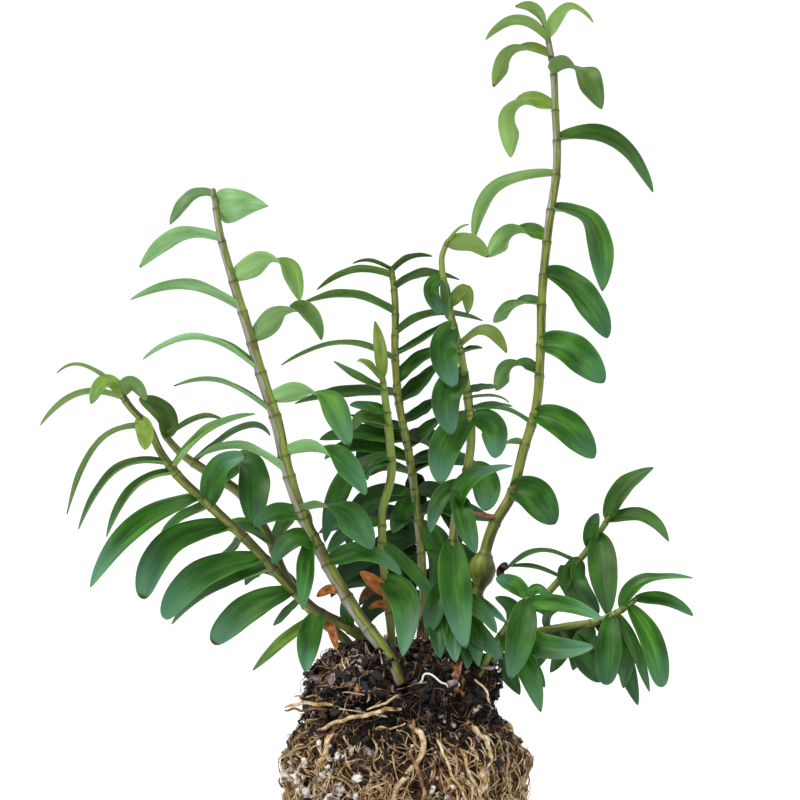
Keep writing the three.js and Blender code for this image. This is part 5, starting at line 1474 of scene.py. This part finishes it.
for rows, radius, tone_share in CROWN_ROOTS:
    line, _, _ = cane_curve([(*row, radius) for row in rows], 0.0)
    line = line[np.linspace(0, len(line) - 1, CROWN_ROOT_ROWS).round().astype(int)]
    line = line + KINK * np.stack([crumble(line, KINK_WAVE, 50 + axis) for axis in range(3)], -1)
    thinning = radius * np.interp(np.arange(CROWN_ROOT_ROWS), (0, 3, 22, 25), (0.7, 1, 0.9, 0.5))
    crown_tubes.append((line[None], thinning[None]))
    crown_tones.append(np.array([tone_share]))
# short strands whose free ends stand off the crown, most of them on its left
run = np.linspace(0, 1, CROWN_ROOT_ROWS)[None, :]
strand_share = draw.uniform(0.50, 0.88, (STRANDS, 1)) + draw.normal(0, 0.05, (STRANDS, 1)) * run
strand_bearing = draw.normal(STRANDS_MIDDLE, 0.5, (STRANDS, 1)) + draw.normal(0, 0.25, (STRANDS, 1)) * run
strand_out = draw.uniform(0.4, 1.6, (STRANDS, 1)) + draw.uniform(0, 4, (STRANDS, 1)) * run**2
strand_out = strand_out - 2.2 * np.exp(-run / 0.1)
strand_line = ball_skin(strand_share, strand_bearing, strand_out)
crown_tubes.append((strand_line, draw.uniform(*STRAND_RADIUS, (STRANDS, 1)) * (1 - 0.5 * run)))
crown_tones.append(np.clip(draw.normal(0.65, 0.35, STRANDS), 0, 1))
root_piece("crown_roots", crown_tubes, sides=7, tones=crown_tones)


# ---- Floor, light and camera ----------------------------------------------------------------------------
# A plain white floor as far as the eye goes in a white room, one very wide soft light from the upper left
# and a weaker one from the right, both as far away as a sky.
FLOOR_RADIUS = 60  # metres
FLOOR_DROP = 0.0003  # metres below the ball's underside, so that the two don't fight for the same place
ROOM_LIGHT = 0.62  # how much of the room's white reaches the plant
ROOM_SEEN = 1.1  # how bright the room itself looks
CAMERA_PLACE = (0, -1.8, 0.188)  # metres: straight before the plant, at half the height of the view
CAMERA_LENS = 202.5  # long enough to show 0.32 metres across at that distance

# Floor paint: white pigment in a matt binder, with hardly any gloss.
floor_paint, tree, shader = new_finish("matt_white_floor_paint")
shader.inputs["Base Color"].default_value = linear("#fafafa")
shader.inputs["Roughness"].default_value = 0.9
shader.inputs["Specular IOR Level"].default_value = 0.1
bpy.ops.mesh.primitive_circle_add(
    vertices=96, radius=FLOOR_RADIUS, fill_type="NGON", location=(0, 0, -FLOOR_DROP),
)
floor = bpy.context.object
floor.name = "floor_backdrop"
floor.data.materials.append(floor_paint)

room = bpy.data.worlds.new("white_room")
room.use_nodes = True
walls = room.node_tree.nodes["Background"]
walls.inputs["Color"].default_value = (0.97, 0.985, 1.0, 1.0)
ray = add_node(room.node_tree, "ShaderNodeLightPath")
seen = add_node(
    room.node_tree, "ShaderNodeMapRange", {3: ROOM_LIGHT, 4: ROOM_SEEN}, {0: ray.outputs["Is Camera Ray"]},
)
connect(room.node_tree, seen, walls.inputs["Strength"])
bpy.context.scene.world = room
bpy.context.scene.view_settings.view_transform = "Standard"


def sky_lamp(name, way, strength, spread, colour):
    """A distant lamp whose light travels along `way` and comes from a disc `spread` degrees wide."""
    lamp = bpy.data.lights.new(name, "SUN")
    lamp.energy = strength
    lamp.angle = math.radians(spread)
    lamp.color = colour
    held = bpy.data.objects.new(name, lamp)
    bpy.context.scene.collection.objects.link(held)
    flat = math.hypot(way[0], way[1])
    held.rotation_euler = (math.atan2(flat, -way[2]), 0, math.atan2(way[1], way[0]) - math.pi / 2)


sky_lamp("key_lamp", (0.40, 0.30, -0.90), 2.2, 40, (1.0, 0.985, 0.95))
sky_lamp("side_lamp", (-0.8, -0.35, -0.6), 0.5, 60, (0.95, 0.98, 1.0))

camera = bpy.data.cameras.new("camera")
camera.lens = CAMERA_LENS
camera.sensor_width = 36
camera.clip_end = 100
holder = bpy.data.objects.new("camera", camera)
bpy.context.scene.collection.objects.link(holder)
holder.location = CAMERA_PLACE
holder.rotation_euler = (math.pi / 2, 0, 0)
bpy.context.scene.camera = holder

bpy.context.view_layer.update()
